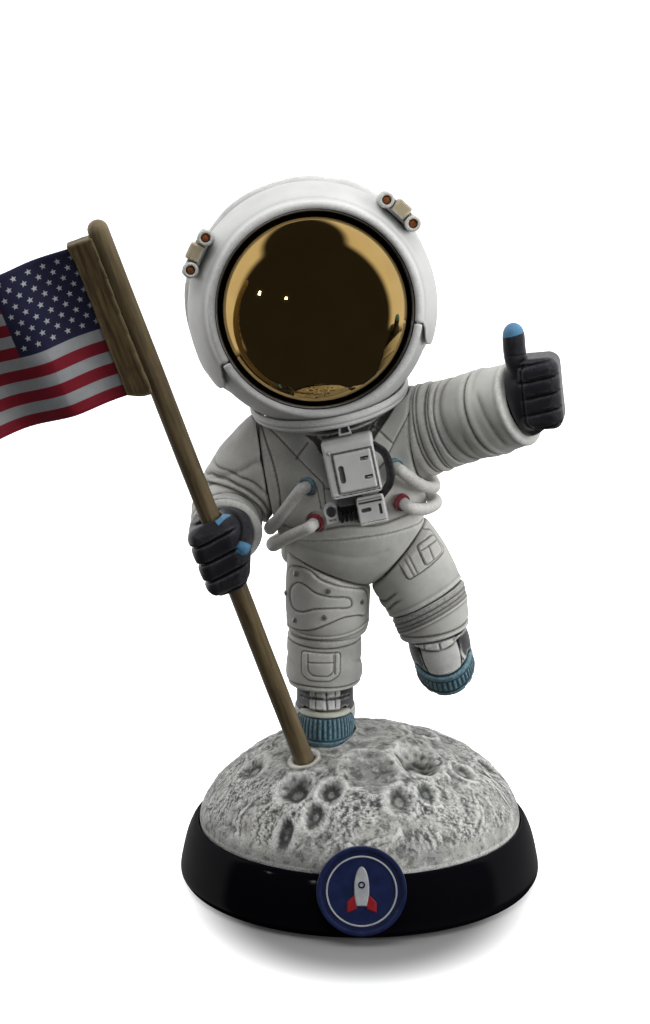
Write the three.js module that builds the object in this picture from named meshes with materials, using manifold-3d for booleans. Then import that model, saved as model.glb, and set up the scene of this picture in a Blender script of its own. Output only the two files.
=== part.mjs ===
// Large-headed astronaut display figure: a space-suited figure with a gold visor that plants a flag
// on a domed moon rock, which sits in a round black plinth.
// Millimetres, +Z up, the figure faces -Y, and the origin is the centre of the pad under the plinth.
import * as THREE from "three";
import { mergeVertices } from "three/addons/utils/BufferGeometryUtils.js";
import Module from "manifold-3d";

const wasm = await Module();
wasm.setup();

// ---------------------------------------------------------------- driving dimensions
const GAP = 0.3; // clearance between pieces that touch
const DEG = Math.PI / 180;

const PLINTH_R = 43; // at its foot
const PLINTH_TOP = 14.6;
const PLINTH_LEAN = 14 * DEG; // the wall leans in by this much
const PAD_T = 1.3;
const PLATE_Z = [1.5, 3.5];
const PLATE_R = 39.2;
const SCREW_RING_R = 32;

const ROCK_R = 38.3; // the moon rock's foot
const ROCK_RISE = 22.5; // how far it rises above the plinth
const ROCK_SQUARENESS = 1.85; // exponent of its superellipse section
const ROCK_WALL = 3;

const EMBLEM_R = 10.25;
const EMBLEM_T = 2;

const POLE_R = 2.35;
const GRIP_HEIGHT = 85.4; // middle of the fist on the pole
const PALM_PLUG_R = 6.2; // plug of each hand in its cuff
const POST_R = 4.6; // neck post
const POLE_FOOT = vec(-13.2, -13, 33.6); // where its axis meets the rock
const POLE_TIP = vec(-58.9, -26, 163.1);
const POLE_SOCKET = 5; // depth of the pole in the rock
const SLEEVE_Z = [96.7, 134.9]; // along the pole
const TONGUE_REACH = 6.9;
const FLAG_FLY = 54;
const FLAG_HOIST = 36;
const FLAG_T = 1;
const FLAG_WAVE = { height: 2.1, length: 27 };

const HEAD_CENTRE = vec(-11.15, -2.3, 139.3);
const NECK_AXIS = vec(-0.174, -0.12, 0.977).normalize();
const HEAD_YAW = 2.3 * DEG;
const HEAD_PITCH = 8.7 * DEG;
const HEAD_ROLL = 11.4 * DEG;
const HELMET_R = 27.2;
const HELMET_WALL = 2;
const HOOD_R = 28.6;
const HEAD_SWEEP_R = HOOD_R + 0.7; // room that the turning head needs
const VISOR_RIM_R = 21.4;
const VISOR_RIM = 16.7; // how far forward the visor's rim stands
const VISOR_R = 23.6; // radius of the visor's dome
const CHIN_ANGLE = 26 * DEG; // the hood ends this far under the head's own horizon
const LAMP_ANGLES = [44.7 * DEG, 29 * DEG];
const LAMP_RING_R = 29.1;
const LAMP_FRONT = 14.2; // how far forward the lamps' barrels reach
const LAMP_R = 1.75;
const BALL_R = 4.5;
const NOD_CLEAR = 5.2; // extra radius of the helmet's neck hole, so that the post can lean in it

const WAIST = vec(-1.9, 0, 87.4);
const WAIST_NORMAL = vec(-0.104, 0, 0.995).normalize();
const SPINE = vec(-0.176, 0, 0.984).normalize();

const SHOULDER_L = vec(13.3, -0.5, 109.5);
const SHOULDER_L_NORMAL = vec(0.97, -0.2, 0.1).normalize();
const ELBOW_L = vec(22, -4.5, 112.8);
const WRIST_L = vec(36.3, -12.6, 119);
const SLEEVE_L_R = [10.8, 10, 9.5]; // at the shoulder, elbow and cuff

const SHOULDER_R = vec(-22, 0, 100);
const SHOULDER_R_NORMAL = vec(-0.985, 0, -0.17).normalize();
const ELBOW_R = vec(-31, 3.5, 91.5);
const WRIST_R = vec(-31.2, -11.5, 87.8);

const LEG_PLANE = { point: vec(-7.5, 0, 77), normal: vec(0.41, 0, 0.91).normalize() };
const HIP = vec(9.1, 0, 81); // centre of the raised leg's joint face
const HIP_NORMAL = vec(0.78, 0, -0.62).normalize();
const KNEE = vec(15.6, -1.4, 69.4);
const ANKLE = vec(17.6, -1.2, 61.2);

const LEG_X = -8.3; // axis of the standing leg
const SOLE_Z = 35.4; // underside of the standing boot

const PEG_R = 3.4;

// ---------------------------------------------------------------- helpers
function vec(x, y, z) {
  return new THREE.Vector3(x, y, z);
}

// A closed geometry as a manifold-3d solid.
function solid(geometry) {
  const bare = geometry.clone();
  for (const name of Object.keys(bare.attributes)) if (name !== "position") bare.deleteAttribute(name);
  const merged = mergeVertices(bare, 1e-4);
  return new wasm.Manifold(
    new wasm.Mesh({
      numProp: 3,
      vertProperties: merged.attributes.position.array,
      triVerts: new Uint32Array(merged.index.array),
    }),
  );
}

function geometryOf(made) {
  const mesh = made.simplify(0.04).getMesh();
  const geometry = new THREE.BufferGeometry();
  geometry.setAttribute("position", new THREE.BufferAttribute(new Float32Array(mesh.vertProperties), 3));
  geometry.setIndex(new THREE.BufferAttribute(new Uint32Array(mesh.triVerts), 1));
  return geometry;
}

function join(...geometries) {
  return geometryOf(geometries.map(solid).reduce((a, b) => a.add(b)));
}

function cut(geometry, ...tools) {
  return geometryOf(tools.map(solid).reduce((a, b) => a.subtract(b), solid(geometry)));
}

function common(a, b) {
  return geometryOf(solid(a).intersect(solid(b)));
}

// A solid turned about +Z from [radius, height] pairs, listed up the outside.
function turned(profile, segments = 18) {
  const points = profile.map(([r, z]) => new THREE.Vector2(r, z));
  return new THREE.LatheGeometry(points, segments).rotateX(Math.PI / 2);
}

function rod(radius, from, to, segments = 14) {
  return turned([[0, from], [radius, from], [radius, to], [0, to]], segments);
}

function ball(rx, ry = rx, rz = rx, segments = 16) {
  const made = new THREE.SphereGeometry(1, segments, Math.round(segments / 2));
  return made.rotateX(Math.PI / 2).scale(rx, ry, rz);
}

// A limb turned about +Z, with [height, radius] stations and softly rounded ends.
function limb(stations, segments = 18) {
  const [first, last] = [stations[0], stations.at(-1)];
  const soft = 0.8;
  const outline = [
    [0, first[0]],
    [first[1] - soft, first[0]],
    [first[1], first[0] + soft],
    ...stations.slice(1, -1).map(([z, r]) => [r, z]),
    [last[1], last[0] - soft],
    [last[1] - soft, last[0]],
    [0, last[0]],
  ];
  return turned(outline, segments);
}

// A box with rounded upright edges and bevelled faces, centred on the origin.
function softBox(width, depth, height, round = 1, bevel = 0.5) {
  const [w, h] = [width / 2 - bevel, height / 2 - bevel];
  const r = Math.max(round - bevel, 0.05);
  const outline = new THREE.Shape();
  outline.moveTo(-w + r, -h);
  outline.lineTo(w - r, -h).absarc(w - r, -h + r, r, -Math.PI / 2, 0);
  outline.lineTo(w, h - r).absarc(w - r, h - r, r, 0, Math.PI / 2);
  outline.lineTo(-w + r, h).absarc(-w + r, h - r, r, Math.PI / 2, Math.PI);
  outline.lineTo(-w, -h + r).absarc(-w + r, -h + r, r, Math.PI, 1.5 * Math.PI);
  const made = new THREE.ExtrudeGeometry(outline, {
    depth: depth - 2 * bevel,
    bevelThickness: bevel,
    bevelSize: bevel,
    bevelSegments: 1,
    curveSegments: 2,
  });
  return made.translate(0, 0, -depth / 2 + bevel).rotateX(Math.PI / 2);
}

// A round bar along a smooth curve through the points.
function tube(points, radius, steps = 10, sides = 8) {
  const section = new THREE.Shape().absarc(0, 0, radius, 0, 2 * Math.PI);
  return new THREE.ExtrudeGeometry(section, {
    steps,
    curveSegments: sides,
    extrudePath: new THREE.CatmullRomCurve3(points),
  });
}

// A matrix whose +Z lies along `up` and whose -Y faces as nearly to the front as it can.
function frameAt(origin, up, front = vec(0, -1, 0)) {
  const z = up.clone().normalize();
  const y = front.clone().negate().addScaledVector(z, front.dot(z)).normalize();
  const x = y.clone().cross(z);
  return new THREE.Matrix4().makeBasis(x, y, z).setPosition(origin);
}

// The half space beyond a plane, as a large block: `side` is the direction that it fills.
function beyond(point, side, size = 120) {
  const block = new THREE.BoxGeometry(size, size, size).translate(0, 0, size / 2);
  return block.applyMatrix4(frameAt(point, side, vec(0.3, -1, 0.2)));
}

function offset(point, direction, distance) {
  return point.clone().addScaledVector(direction, distance);
}

function along(from, to) {
  return to.clone().sub(from).normalize();
}

// ---------------------------------------------------------------- finishes and nodes
function finish(color, roughness, metalness = 0) {
  return new THREE.MeshStandardMaterial({ color, roughness, metalness });
}

const SUIT = finish(0xc9c9c3, 0.55);
const SUIT_TRIM = finish(0xb9bab5, 0.5);
const DARK_CLOTH = finish(0x4c4c50, 0.7);
const RUBBER = finish(0x1c1c20, 0.45);
const TIP_BLUE = finish(0x4f8fc0, 0.4);
const SOLE_BLUE = finish(0x3e6275, 0.5);
const GOLD = finish(0xc08a2c, 0.06, 1);
const STEEL = finish(0x9a9a9a, 0.35, 1);
const BRONZE = finish(0x54432b, 0.5, 0.3);
const ROCK = finish(0x9b9b98, 0.9);
const GLOSS_BLACK = finish(0x0b0b0d, 0.15);
const FOAM = finish(0x222222, 0.95);
const ENAMEL_BLUE = finish(0x16224f, 0.25);
const CLOTH_PRINT = finish(0x8d2a33, 0.6);
const COLLAR_RED = finish(0x7c1c2a, 0.4);
const AMBER = finish(0x9a4b12, 0.1);

const figure = new THREE.Group();
figure.name = "astronaut_figure";

function groupAt(matrix) {
  const made = new THREE.Group();
  matrix.decompose(made.position, made.quaternion, made.scale);
  made.updateMatrix();
  figure.add(made);
  return made;
}

function node(parent, name, geometry, material) {
  const mesh = new THREE.Mesh(geometry, material);
  mesh.name = name;
  parent.add(mesh);
  return mesh;
}

// A geometry in the part's frame, carried into a group's frame.
function into(group, geometry) {
  return geometry.clone().applyMatrix4(group.matrix.clone().invert());
}

// A geometry in a group's frame, carried into the part's frame.
function outOf(group, geometry) {
  return geometry.clone().applyMatrix4(group.matrix);
}

// ---------------------------------------------------------------- frames
const poleGroup = groupAt(frameAt(POLE_FOOT, along(POLE_FOOT, POLE_TIP)));
const neckGroup = groupAt(frameAt(HEAD_CENTRE, NECK_AXIS));
const headTurn = new THREE.Matrix4().makeRotationFromEuler(
  new THREE.Euler(-HEAD_PITCH, -HEAD_ROLL, HEAD_YAW, "ZXY"),
);
const headGroup = groupAt(headTurn.setPosition(HEAD_CENTRE));
const torsoGroup = groupAt(frameAt(WAIST, SPINE));
const emblemGroup = groupAt(
  frameAt(vec(0, -42.2, 12.3), vec(0, -Math.cos(PLINTH_LEAN), Math.sin(PLINTH_LEAN)), vec(0, 0, -1)),
);
const armLeftGroup = groupAt(frameAt(SHOULDER_L, SHOULDER_L_NORMAL));
const cuffLeftGroup = groupAt(frameAt(ELBOW_L, along(ELBOW_L, WRIST_L)));
const handLeftGroup = groupAt(frameAt(WRIST_L, along(ELBOW_L, WRIST_L), vec(0, -1, 0)));
const cuffRightGroup = groupAt(frameAt(ELBOW_R, along(ELBOW_R, WRIST_R), vec(0, 0, -1)));
const thighRaisedGroup = groupAt(frameAt(KNEE, along(KNEE, HIP)));
const shinRaisedGroup = groupAt(frameAt(ANKLE, along(ANKLE, KNEE)));

// ---------------------------------------------------------------- base
function rockHeight(r) {
  const share = Math.min(r / ROCK_R, 1);
  return PLINTH_TOP - 0.1 + ROCK_RISE * (1 - share ** ROCK_SQUARENESS) ** (1 / ROCK_SQUARENESS);
}

const FOOT_PIN = vec(LEG_X, 2, 0);
const screwSpots = [90, 210, 330].map((a) =>
  vec(SCREW_RING_R * Math.cos(a * DEG), SCREW_RING_R * Math.sin(a * DEG), 0),
);

function buildPlinth() {
  const ring = turned(
    [
      [PLATE_R + GAP, 0.8],
      [42.2, 0.8],
      [PLINTH_R, 2.6],
      [42.1, 8],
      [40.2, 13.7],
      [39.2, PLINTH_TOP],
      [ROCK_R + GAP, PLINTH_TOP],
      [ROCK_R + GAP, 11.8],
      [35.4, 11.8],
      [PLATE_R + GAP, 7],
      [PLATE_R + GAP, 0.8],
    ],
    32,
  );
  const bosses = screwSpots.map((p) => {
    const post = rod(3.2, PLATE_Z[1] + 0.1, 11.6, 16);
    const web = new THREE.BoxGeometry(6, 3, 7.6).translate(3.4, 0, 7.6);
    const angle = Math.atan2(p.y, p.x);
    return join(post, web).rotateZ(angle).translate(p.x, p.y, 0);
  });
  const pilots = screwSpots.map((p) => rod(1.6, 3, 10.2, 12).translate(p.x, p.y, 0));
  const studHole = outOf(emblemGroup, rod(1.8, -9, 2, 10));
  const shell = cut(join(ring, ...bosses), ...pilots, studHole);
  node(figure, "plinth", shell, GLOSS_BLACK);
}

function buildBasePlate() {
  const [low, high] = PLATE_Z;
  const holes = screwSpots.map((p) =>
    turned([[0, low - 1], [3.4, low - 1], [3.4, low + 1], [1.7, low + 1], [1.7, high + 1], [0, high + 1]], 12)
      .translate(p.x, p.y, 0),
  );
  node(figure, "base_plate", cut(rod(PLATE_R, low, high, 28), ...holes), GLOSS_BLACK);
  screwSpots.forEach((p, i) => {
    const screw = turned([[0, 1.6], [3, 1.6], [3, 2.4], [1.3, 2.4], [1.3, 9.4], [0, 9.9]], 12);
    node(figure, `base_screw_${i + 1}`, screw.translate(p.x, p.y, 0), STEEL);
  });
  node(figure, "base_pad", rod(37.5, 0, PAD_T, 28), FOAM);
}

// Craters as [x, y, radius of the cutting ball, depth].
const CRATERS = [
  [13.6, -14.6, 8, 2.4],
  [-15.2, -24.8, 5.5, 1.9],
  [-6.2, -26.4, 4, 1.1],
  [1.5, -20.6, 7.5, 1.3],
];

function buildRock(bootSolid) {
  const steps = 7;
  const outside = [];
  for (let i = 0; i <= steps; i++) {
    const r = ROCK_R * Math.cos((i / steps) * 90 * DEG);
    outside.push([i === steps ? 0 : r, rockHeight(r)]);
  }
  const inside = outside
    .filter((_, i) => i % 3 === 1)
    .map(([r, z]) => [r * (1 - ROCK_WALL / ROCK_R), z - ROCK_WALL])
    .reverse();
  inside[0][0] = 0;
  const bottom = 12;
  const inner = [ROCK_R - ROCK_WALL, bottom];
  let shell = turned([inner, [ROCK_R, bottom], ...outside, ...inside, inner], 26);
  const envelope = turned([[0, bottom], [ROCK_R, bottom], ...outside], 26);
  const pinBoss = rod(5.5, 21, 40, 20).translate(FOOT_PIN.x, FOOT_PIN.y, 0);
  const poleBoss = outOf(poleGroup, rod(5.2, -POLE_SOCKET - 3, 6, 20));
  shell = join(shell, common(join(pinBoss, poleBoss), envelope));
  const craters = CRATERS.map(([x, y, radius, depth]) => {
    const z = rockHeight(Math.hypot(x, y));
    return ball(radius, radius, radius, 12).translate(x, y, z + radius * 0.93 - depth);
  });
  const pinHole = rod(1.8, 23.5, 60, 14).translate(FOOT_PIN.x, FOOT_PIN.y, 0);
  const poleHole = outOf(poleGroup, rod(POLE_R + GAP + 0.1, -POLE_SOCKET - GAP, 20, 18));
  node(figure, "moon_rock", cut(shell, ...craters, pinHole, poleHole, bootSolid), ROCK);
}

function buildEmblem() {
  const half = EMBLEM_T / 2;
  const disc = turned(
    [[0, -half], [EMBLEM_R - 0.4, -half], [EMBLEM_R, -half + 0.4], [EMBLEM_R, half - 0.4],
      [EMBLEM_R - 0.4, half], [EMBLEM_R - 1.2, half], [EMBLEM_R - 1.3, half - 0.4], [0, half - 0.4]],
    32,
  );
  node(emblemGroup, "emblem", join(disc, rod(1.4, -3.3, 0, 12)), ENAMEL_BLUE);
}

// ---------------------------------------------------------------- boots
// The parting of a boot: the rubber sole and toe cap lie below this outline, seen from the side as [y, z].
function soleCutter(extra = 0) {
  const outline = new THREE.Shape();
  outline.moveTo(-20, -5).lineTo(20, -5).lineTo(20, 2.9 + extra);
  outline.lineTo(0.5, 2.9 + extra).quadraticCurveTo(-3.2, 3.4 + extra, -5.4, 8.2 + extra);
  outline.lineTo(-20, 9.4 + extra);
  const made = new THREE.ExtrudeGeometry(outline, { depth: 40, bevelEnabled: false, curveSegments: 4 });
  return made.applyMatrix4(
    new THREE.Matrix4().makeBasis(vec(0, 1, 0), vec(0, 0, 1), vec(1, 0, 0)).setPosition(-20, 0, 0),
  );
}

// A boot in its own frame: sole at z = 0, toe towards -Y, shaft about the Z axis.
const BOOT_TOP = 13.3;
function bootBody() {
  const foot = ball(6.9, 10.8, 9.2, 18).translate(0, -1.6, 2.6);
  const shaft = rod(7.1, 4.5, BOOT_TOP, 20).translate(0, 1.6, 0);
  return common(join(foot, shaft), new THREE.BoxGeometry(40, 40, 30).translate(0, 0, 15));
}

function bootPieces() {
  const body = bootBody();
  return { upper: cut(body, soleCutter(GAP)), sole: common(body, soleCutter()) };
}

function buildStandingBoot() {
  const at = groupAt(new THREE.Matrix4().makeTranslation(LEG_X, 2.4, SOLE_Z));
  const { upper, sole } = bootPieces();
  const pinHole = into(at, rod(1.8, 20, 47.5, 14).translate(FOOT_PIN.x, FOOT_PIN.y, 0));
  node(at, "boot_standing", cut(upper, pinHole), SUIT_TRIM);
  node(at, "sole_standing", cut(sole, pinHole), SOLE_BLUE);
  node(figure, "foot_pin", rod(1.5, 24, 47, 14).translate(FOOT_PIN.x, FOOT_PIN.y, 0), STEEL);
  return outOf(at, bootBody().scale(1.04, 1.04, 1).translate(0, 0, -GAP));
}

// ---------------------------------------------------------------- legs
const boot = buildStandingBoot();
buildPlinth();
buildBasePlate();
buildRock(boot);
buildEmblem();

function buildStandingLeg() {
  const bootTop = SOLE_Z + BOOT_TOP;
  const shin = limb([[47.9, 8], [50, 8.7], [54, 8.9], [58, 8.6], [60.6, 8.9]]).translate(-8.5, 1.2, 0);
  const socket = rod(7.1 + GAP, 40, bootTop + GAP, 24).translate(LEG_X, 4, 0);
  node(figure, "shin_standing", cut(shin, socket), SUIT);
  const thigh = limb([[60.9, 9.1], [65, 9.7], [71, 9.9], [77, 9.7], [88, 9.2]]).translate(-7.6, 0.4, 0);
  const trimmed = cut(thigh, beyond(offset(LEG_PLANE.point, LEG_PLANE.normal, -GAP / 2), LEG_PLANE.normal));
  node(figure, "thigh_standing", trimmed, SUIT);
}

function buildPelvis() {
  const body = ball(17.7, 14, 14.6, 20).translate(-1.8, 0.4, 87);
  const trimmed = cut(
    body,
    beyond(offset(WAIST, WAIST_NORMAL, -GAP / 2), WAIST_NORMAL),
    beyond(offset(LEG_PLANE.point, LEG_PLANE.normal, GAP / 2), LEG_PLANE.normal.clone().negate()),
    beyond(offset(HIP, HIP_NORMAL, -GAP / 2), HIP_NORMAL),
    rod(PEG_R + GAP, -6, 5).applyMatrix4(frameAt(HIP, HIP_NORMAL)),
  );
  node(figure, "pelvis", trimmed, SUIT);
  return trimmed;
}

function buildRaisedLeg() {
  const hipFace = beyond(offset(HIP, HIP_NORMAL, GAP / 2), HIP_NORMAL.clone().negate());
  const reach = HIP.distanceTo(KNEE);
  const thigh = outOf(
    thighRaisedGroup,
    limb([[GAP / 2, 9.3], [4, 9.9], [9, 9.9], [reach, 9.6], [reach + 9, 8]]),
  );
  const pegHole = rod(PEG_R + GAP, -1, 5, 20).applyMatrix4(frameAt(HIP, HIP_NORMAL));
  node(thighRaisedGroup, "thigh_raised", into(thighRaisedGroup, cut(thigh, hipFace, pegHole)), SUIT);
  const hipPeg = rod(PEG_R, -5.6, 4.7).applyMatrix4(frameAt(HIP, HIP_NORMAL));
  node(figure, "hip_peg", hipPeg, STEEL);
  const length = ANKLE.distanceTo(KNEE);
  const shin = limb([[0, 7.9], [2.5, 8.5], [length - 3, 9], [length - GAP / 2, 9.3]]);
  const shinCut = cut(shin, rod(6.4 + GAP, -1, 2.6, 24), rod(2.6 + GAP, -1, 6.5, 16));
  const kneeFace = into(shinRaisedGroup, beyond(KNEE, along(KNEE, HIP)));
  const kneeGap = new THREE.Matrix4().makeTranslation(0, 0, -GAP / 2);
  node(shinRaisedGroup, "shin_raised", cut(shinCut, kneeFace.applyMatrix4(kneeGap)), SUIT);
}

// The raised boot's foot hangs forwards and down from the shin.
const RAISED_FOOT = frameAt(vec(19.9, 0.2, 53.6), vec(-0.22, -0.42, 0.88), vec(0.14, -1, -0.42));
function buildRaisedBoot() {
  const at = groupAt(RAISED_FOOT);
  const shorter = new THREE.BoxGeometry(40, 40, 30).translate(0, 0, 26);
  const { upper, sole } = bootPieces();
  const neck = into(at, outOf(shinRaisedGroup, rod(6.4, -6, 2.2, 24)));
  const plug = into(at, outOf(shinRaisedGroup, rod(2.6, -4, 6, 16)));
  const hem = into(at, outOf(shinRaisedGroup, rod(14, -GAP, 30, 24)));
  const body = join(cut(cut(upper, shorter), hem), cut(neck, soleCutter(GAP)), cut(plug, soleCutter(GAP)));
  node(at, "boot_raised", body, SUIT_TRIM);
  node(at, "sole_raised", sole, SOLE_BLUE);
}

buildStandingLeg();
const pelvis = buildPelvis();
buildRaisedLeg();
buildRaisedBoot();

// ---------------------------------------------------------------- torso
const ringEnvelope = outOf(
  neckGroup,
  turned([[0, -27], [16, -24.7], [18.1, -24], [19.3, -22.6], [19.3, -17.5], [0, -17.5]], 36),
);

// The suit hoses: each leaves a collar on the chest and runs round the side to the backpack.
const HOSE_R = 1.45;
const COLLAR_R = 2.35;
const HOSES = [
  {
    name: "right_blue", colour: TIP_BLUE, collar: vec(-12.7, -14.1, 99.6), out: vec(-0.5, -0.86, -0.1),
    route: [vec(-18.3, -12.6, 92.6), vec(-20.8, -5.6, 87.6), vec(-20.9, 3, 86), vec(-18.2, 9.8, 86.4)],
  },
  {
    name: "right_red", colour: COLLAR_RED, collar: vec(-10.9, -14.9, 91.2), out: vec(-0.45, -0.88, -0.15),
    route: [vec(-16.6, -13.2, 87.6), vec(-20, -7.4, 84), vec(-20.6, 2, 82), vec(-18.6, 9.8, 81.2)],
  },
  {
    name: "left_blue", colour: TIP_BLUE, collar: vec(8, -13.6, 104), out: vec(0.45, -0.88, -0.1),
    route: [vec(13.6, -11.8, 99.6), vec(16.8, -5.6, 97.4), vec(17, 3, 96.8), vec(15, 9.8, 97.2)],
  },
  {
    name: "left_red", colour: COLLAR_RED, collar: vec(9.7, -13.6, 95.6), out: vec(0.62, -0.75, -0.25),
    route: [vec(14.7, -11.6, 93.8), vec(17.3, -5.4, 93.4), vec(17.4, 3, 92.4), vec(15.6, 9.8, 91.6)],
  },
].map((hose) => ({ ...hose, out: hose.out.normalize() }));

function hosePath({ collar, out, route }) {
  return [offset(collar, out, -1), offset(collar, out, 1.2), offset(collar, out, 2.6), ...route];
}

function buildTorso() {
  const trunk = turned(
    [
      [0, -6], [15.5, -6], [18, -1.5], [18.6, 4], [18.3, 10],
      [17.2, 16], [15.4, 21], [12.6, 25], [8, 28], [0, 28.6],
    ],
    20,
  ).scale(1, 0.82, 1);
  const shoulderLeft = rod(SLEEVE_L_R[0], -14, 0, 18).applyMatrix4(frameAt(SHOULDER_L, SHOULDER_L_NORMAL));
  const shoulderRight = ball(9, 10.4, 13.4, 16).translate(-19, 0, 100.5);
  const body = cut(
    join(outOf(torsoGroup, trunk), shoulderLeft, shoulderRight),
    beyond(offset(WAIST, WAIST_NORMAL, GAP / 2), WAIST_NORMAL.clone().negate()),
    beyond(offset(SHOULDER_L, SHOULDER_L_NORMAL, -GAP / 2), SHOULDER_L_NORMAL),
    beyond(offset(SHOULDER_R, SHOULDER_R_NORMAL, -GAP / 2), SHOULDER_R_NORMAL),
    ball(HEAD_SWEEP_R, undefined, undefined, 24).translate(...HEAD_CENTRE.toArray()),
    ringEnvelope,
    rod(PEG_R + GAP, -9, 5, 20).applyMatrix4(frameAt(SHOULDER_L, SHOULDER_L_NORMAL)),
    outOf(neckGroup, rod(POST_R + GAP, -41, -20, 20)),
    ...HOSES.map((hose) => rod(COLLAR_R + GAP, -1.4, 4, 12).applyMatrix4(frameAt(hose.collar, hose.out))),
    tube(hosePath(HOSES[0]), HOSE_R + GAP, 8, 6),
  );
  node(torsoGroup, "torso", into(torsoGroup, body), SUIT);
  return body;
}

function buildNeckRing() {
  const seat = HELMET_R + 0.45;
  const at = (angle) => [seat * Math.sin(angle * DEG), -seat * Math.cos(angle * DEG)];
  const outside = [[16.2, -24.3], [17.8, -23.9], [18.7, -22.6], [18.6, -21.4]];
  const section = [at(35), ...outside, at(41), at(38), at(35)];
  node(neckGroup, "neck_ring", turned(section, 28), SUIT_TRIM);
}

function buildNeckPost() {
  const post = turned(
    [
      [0, -40.6], [POST_R, -40.6], [POST_R, -27.5], [2.6, -25], [2.6, -3.4],
      [3.6, -2.7], [BALL_R, 0], [3.2, 3.2], [0, BALL_R],
    ],
    20,
  );
  node(neckGroup, "neck_post", post, STEEL);
}

// A box worn on the body: its inner side follows the body with a gap.
function worn(box) {
  const middle = vec(-5, 0, 98);
  const grown = torso.clone().translate(...middle.clone().negate().toArray()).scale(1.03, 1.05, 1.02);
  return cut(box, grown.translate(...middle.toArray()), ringEnvelope);
}

function buildChestPack() {
  const tilt = new THREE.Euler(-9 * DEG, -12 * DEG, 0, "YXZ");
  const facing = (x, y, z) => new THREE.Matrix4().makeRotationFromEuler(tilt).setPosition(x, y, z);
  const upper = softBox(11.4, 8.6, 13.4, 1.2, 0.5).applyMatrix4(facing(-2.2, -17.2, 105.6));
  node(figure, "chest_box", worn(upper), SUIT_TRIM);
  const lower = softBox(6.4, 6, 6.4, 0.8, 0.4).applyMatrix4(facing(2.4, -17.6, 95.4));
  node(figure, "lower_box", worn(lower), SUIT_TRIM);
  const fitting = softBox(3, 4, 3.4, 0.8, 0.3).applyMatrix4(facing(-6.8, -16.8, 94.4));
  node(figure, "hose_fitting", worn(fitting), DARK_CLOTH);
  const comb = softBox(4, 4, 3.6, 0.4, 0.2).applyMatrix4(facing(-3.1, -17.1, 94.2));
  node(figure, "comb_connector", worn(comb), RUBBER);
  const cable = [vec(3.7, -17, 111), vec(5.8, -17.4, 108.4), vec(6.5, -17.6, 104.6), vec(6.4, -17.4, 100.6)];
  node(figure, "side_cable", tube(cable, 1, 8, 7), RUBBER);
}

function buildHoses() {
  for (const hose of HOSES) {
    const [bore, outer] = [HOSE_R + GAP, COLLAR_R];
    const shoulder = [[outer, 0.5], [outer - 0.4, 0.9]];
    const section = [[bore, -1.1], [outer, -1.1], ...shoulder, [bore, 0.9], [bore, -1.1]];
    const ring = turned(section, 14).applyMatrix4(frameAt(hose.collar, hose.out));
    node(figure, `hose_collar_${hose.name}`, ring, hose.colour);
    node(figure, `hose_${hose.name}`, tube(hosePath(hose), HOSE_R, 10, 8), SUIT);
  }
}

function buildBackpack() {
  const pack = softBox(34, 16.2, 39, 4, 1.6).translate(-1.8, 19.5, 92.5);
  const hips = pelvis.clone().translate(1.8, 0, -87).scale(1.05, 1.07, 1.04).translate(-1.8, 0.2, 87);
  const seam = pelvis.clone().translate(0, 0.5, 0.6);
  node(figure, "backpack", cut(worn(pack), hips, seam, torso.clone().translate(0, 0.5, 0)), SUIT);
}

const torso = buildTorso();
buildNeckRing();
buildNeckPost();
buildChestPack();
buildHoses();
buildBackpack();

// ---------------------------------------------------------------- left arm, raised with its thumb up
function buildLeftArm() {
  const toElbow = along(SHOULDER_L, ELBOW_L);
  const reach = SHOULDER_L.distanceTo(ELBOW_L);
  const taper = turned(
    [
      [0, -8], [SLEEVE_L_R[0] + 0.6, -8], [SLEEVE_L_R[0], 0],
      [SLEEVE_L_R[1], reach], [SLEEVE_L_R[1], reach + 8], [0, reach + 8],
    ],
    22,
  ).applyMatrix4(frameAt(SHOULDER_L, toElbow));
  const forward = along(ELBOW_L, WRIST_L);
  const upper = cut(
    taper,
    beyond(offset(SHOULDER_L, SHOULDER_L_NORMAL, GAP / 2), SHOULDER_L_NORMAL.clone().negate()),
    beyond(offset(ELBOW_L, forward, -GAP / 2), forward),
    ball(HEAD_SWEEP_R, undefined, undefined, 24).translate(...HEAD_CENTRE.toArray()),
    ringEnvelope,
    rod(PEG_R + GAP, -1, 5, 20).applyMatrix4(frameAt(SHOULDER_L, SHOULDER_L_NORMAL)),
  );
  node(armLeftGroup, "upper_arm_left", into(armLeftGroup, upper), SUIT);
  node(armLeftGroup, "shoulder_peg_left", rod(PEG_R, -8.5, 4.7, 20), STEEL);
  const length = ELBOW_L.distanceTo(WRIST_L);
  const cuff = limb([[GAP / 2, SLEEVE_L_R[1]], [length * 0.5, 9.9], [length, SLEEVE_L_R[2]]], 22);
  node(cuffLeftGroup, "cuff_left", cut(cuff, rod(PALM_PLUG_R + GAP, length - 4, length + 1, 24)), SUIT);
}

// The hand's frame has +Z out along the forearm; its thumb stands along the figure's own up.
function buildLeftHand() {
  const wrist = outOf(handLeftGroup, rod(PALM_PLUG_R, -3.7, 3, 24));
  const palm = ball(6.6, 6.2, 8.7).translate(37.9, -14.8, 121);
  const fist = softBox(9.6, 10.5, 15.6, 3.4, 2.2).rotateY(-0.12).translate(40.6, -16, 121);
  const thumb = tube(
    [vec(37.6, -16.4, 125), vec(34.9, -16.6, 129), vec(34.2, -16.4, 132.4), vec(34, -16.2, 136.4)],
    2.45, 5, 10,
  );
  const clear = beyond(offset(WRIST_L, along(ELBOW_L, WRIST_L), GAP), along(WRIST_L, ELBOW_L));
  const hand = join(cut(join(palm, fist), clear), wrist, thumb);
  node(handLeftGroup, "glove_left", into(handLeftGroup, hand), RUBBER);
}

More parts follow.
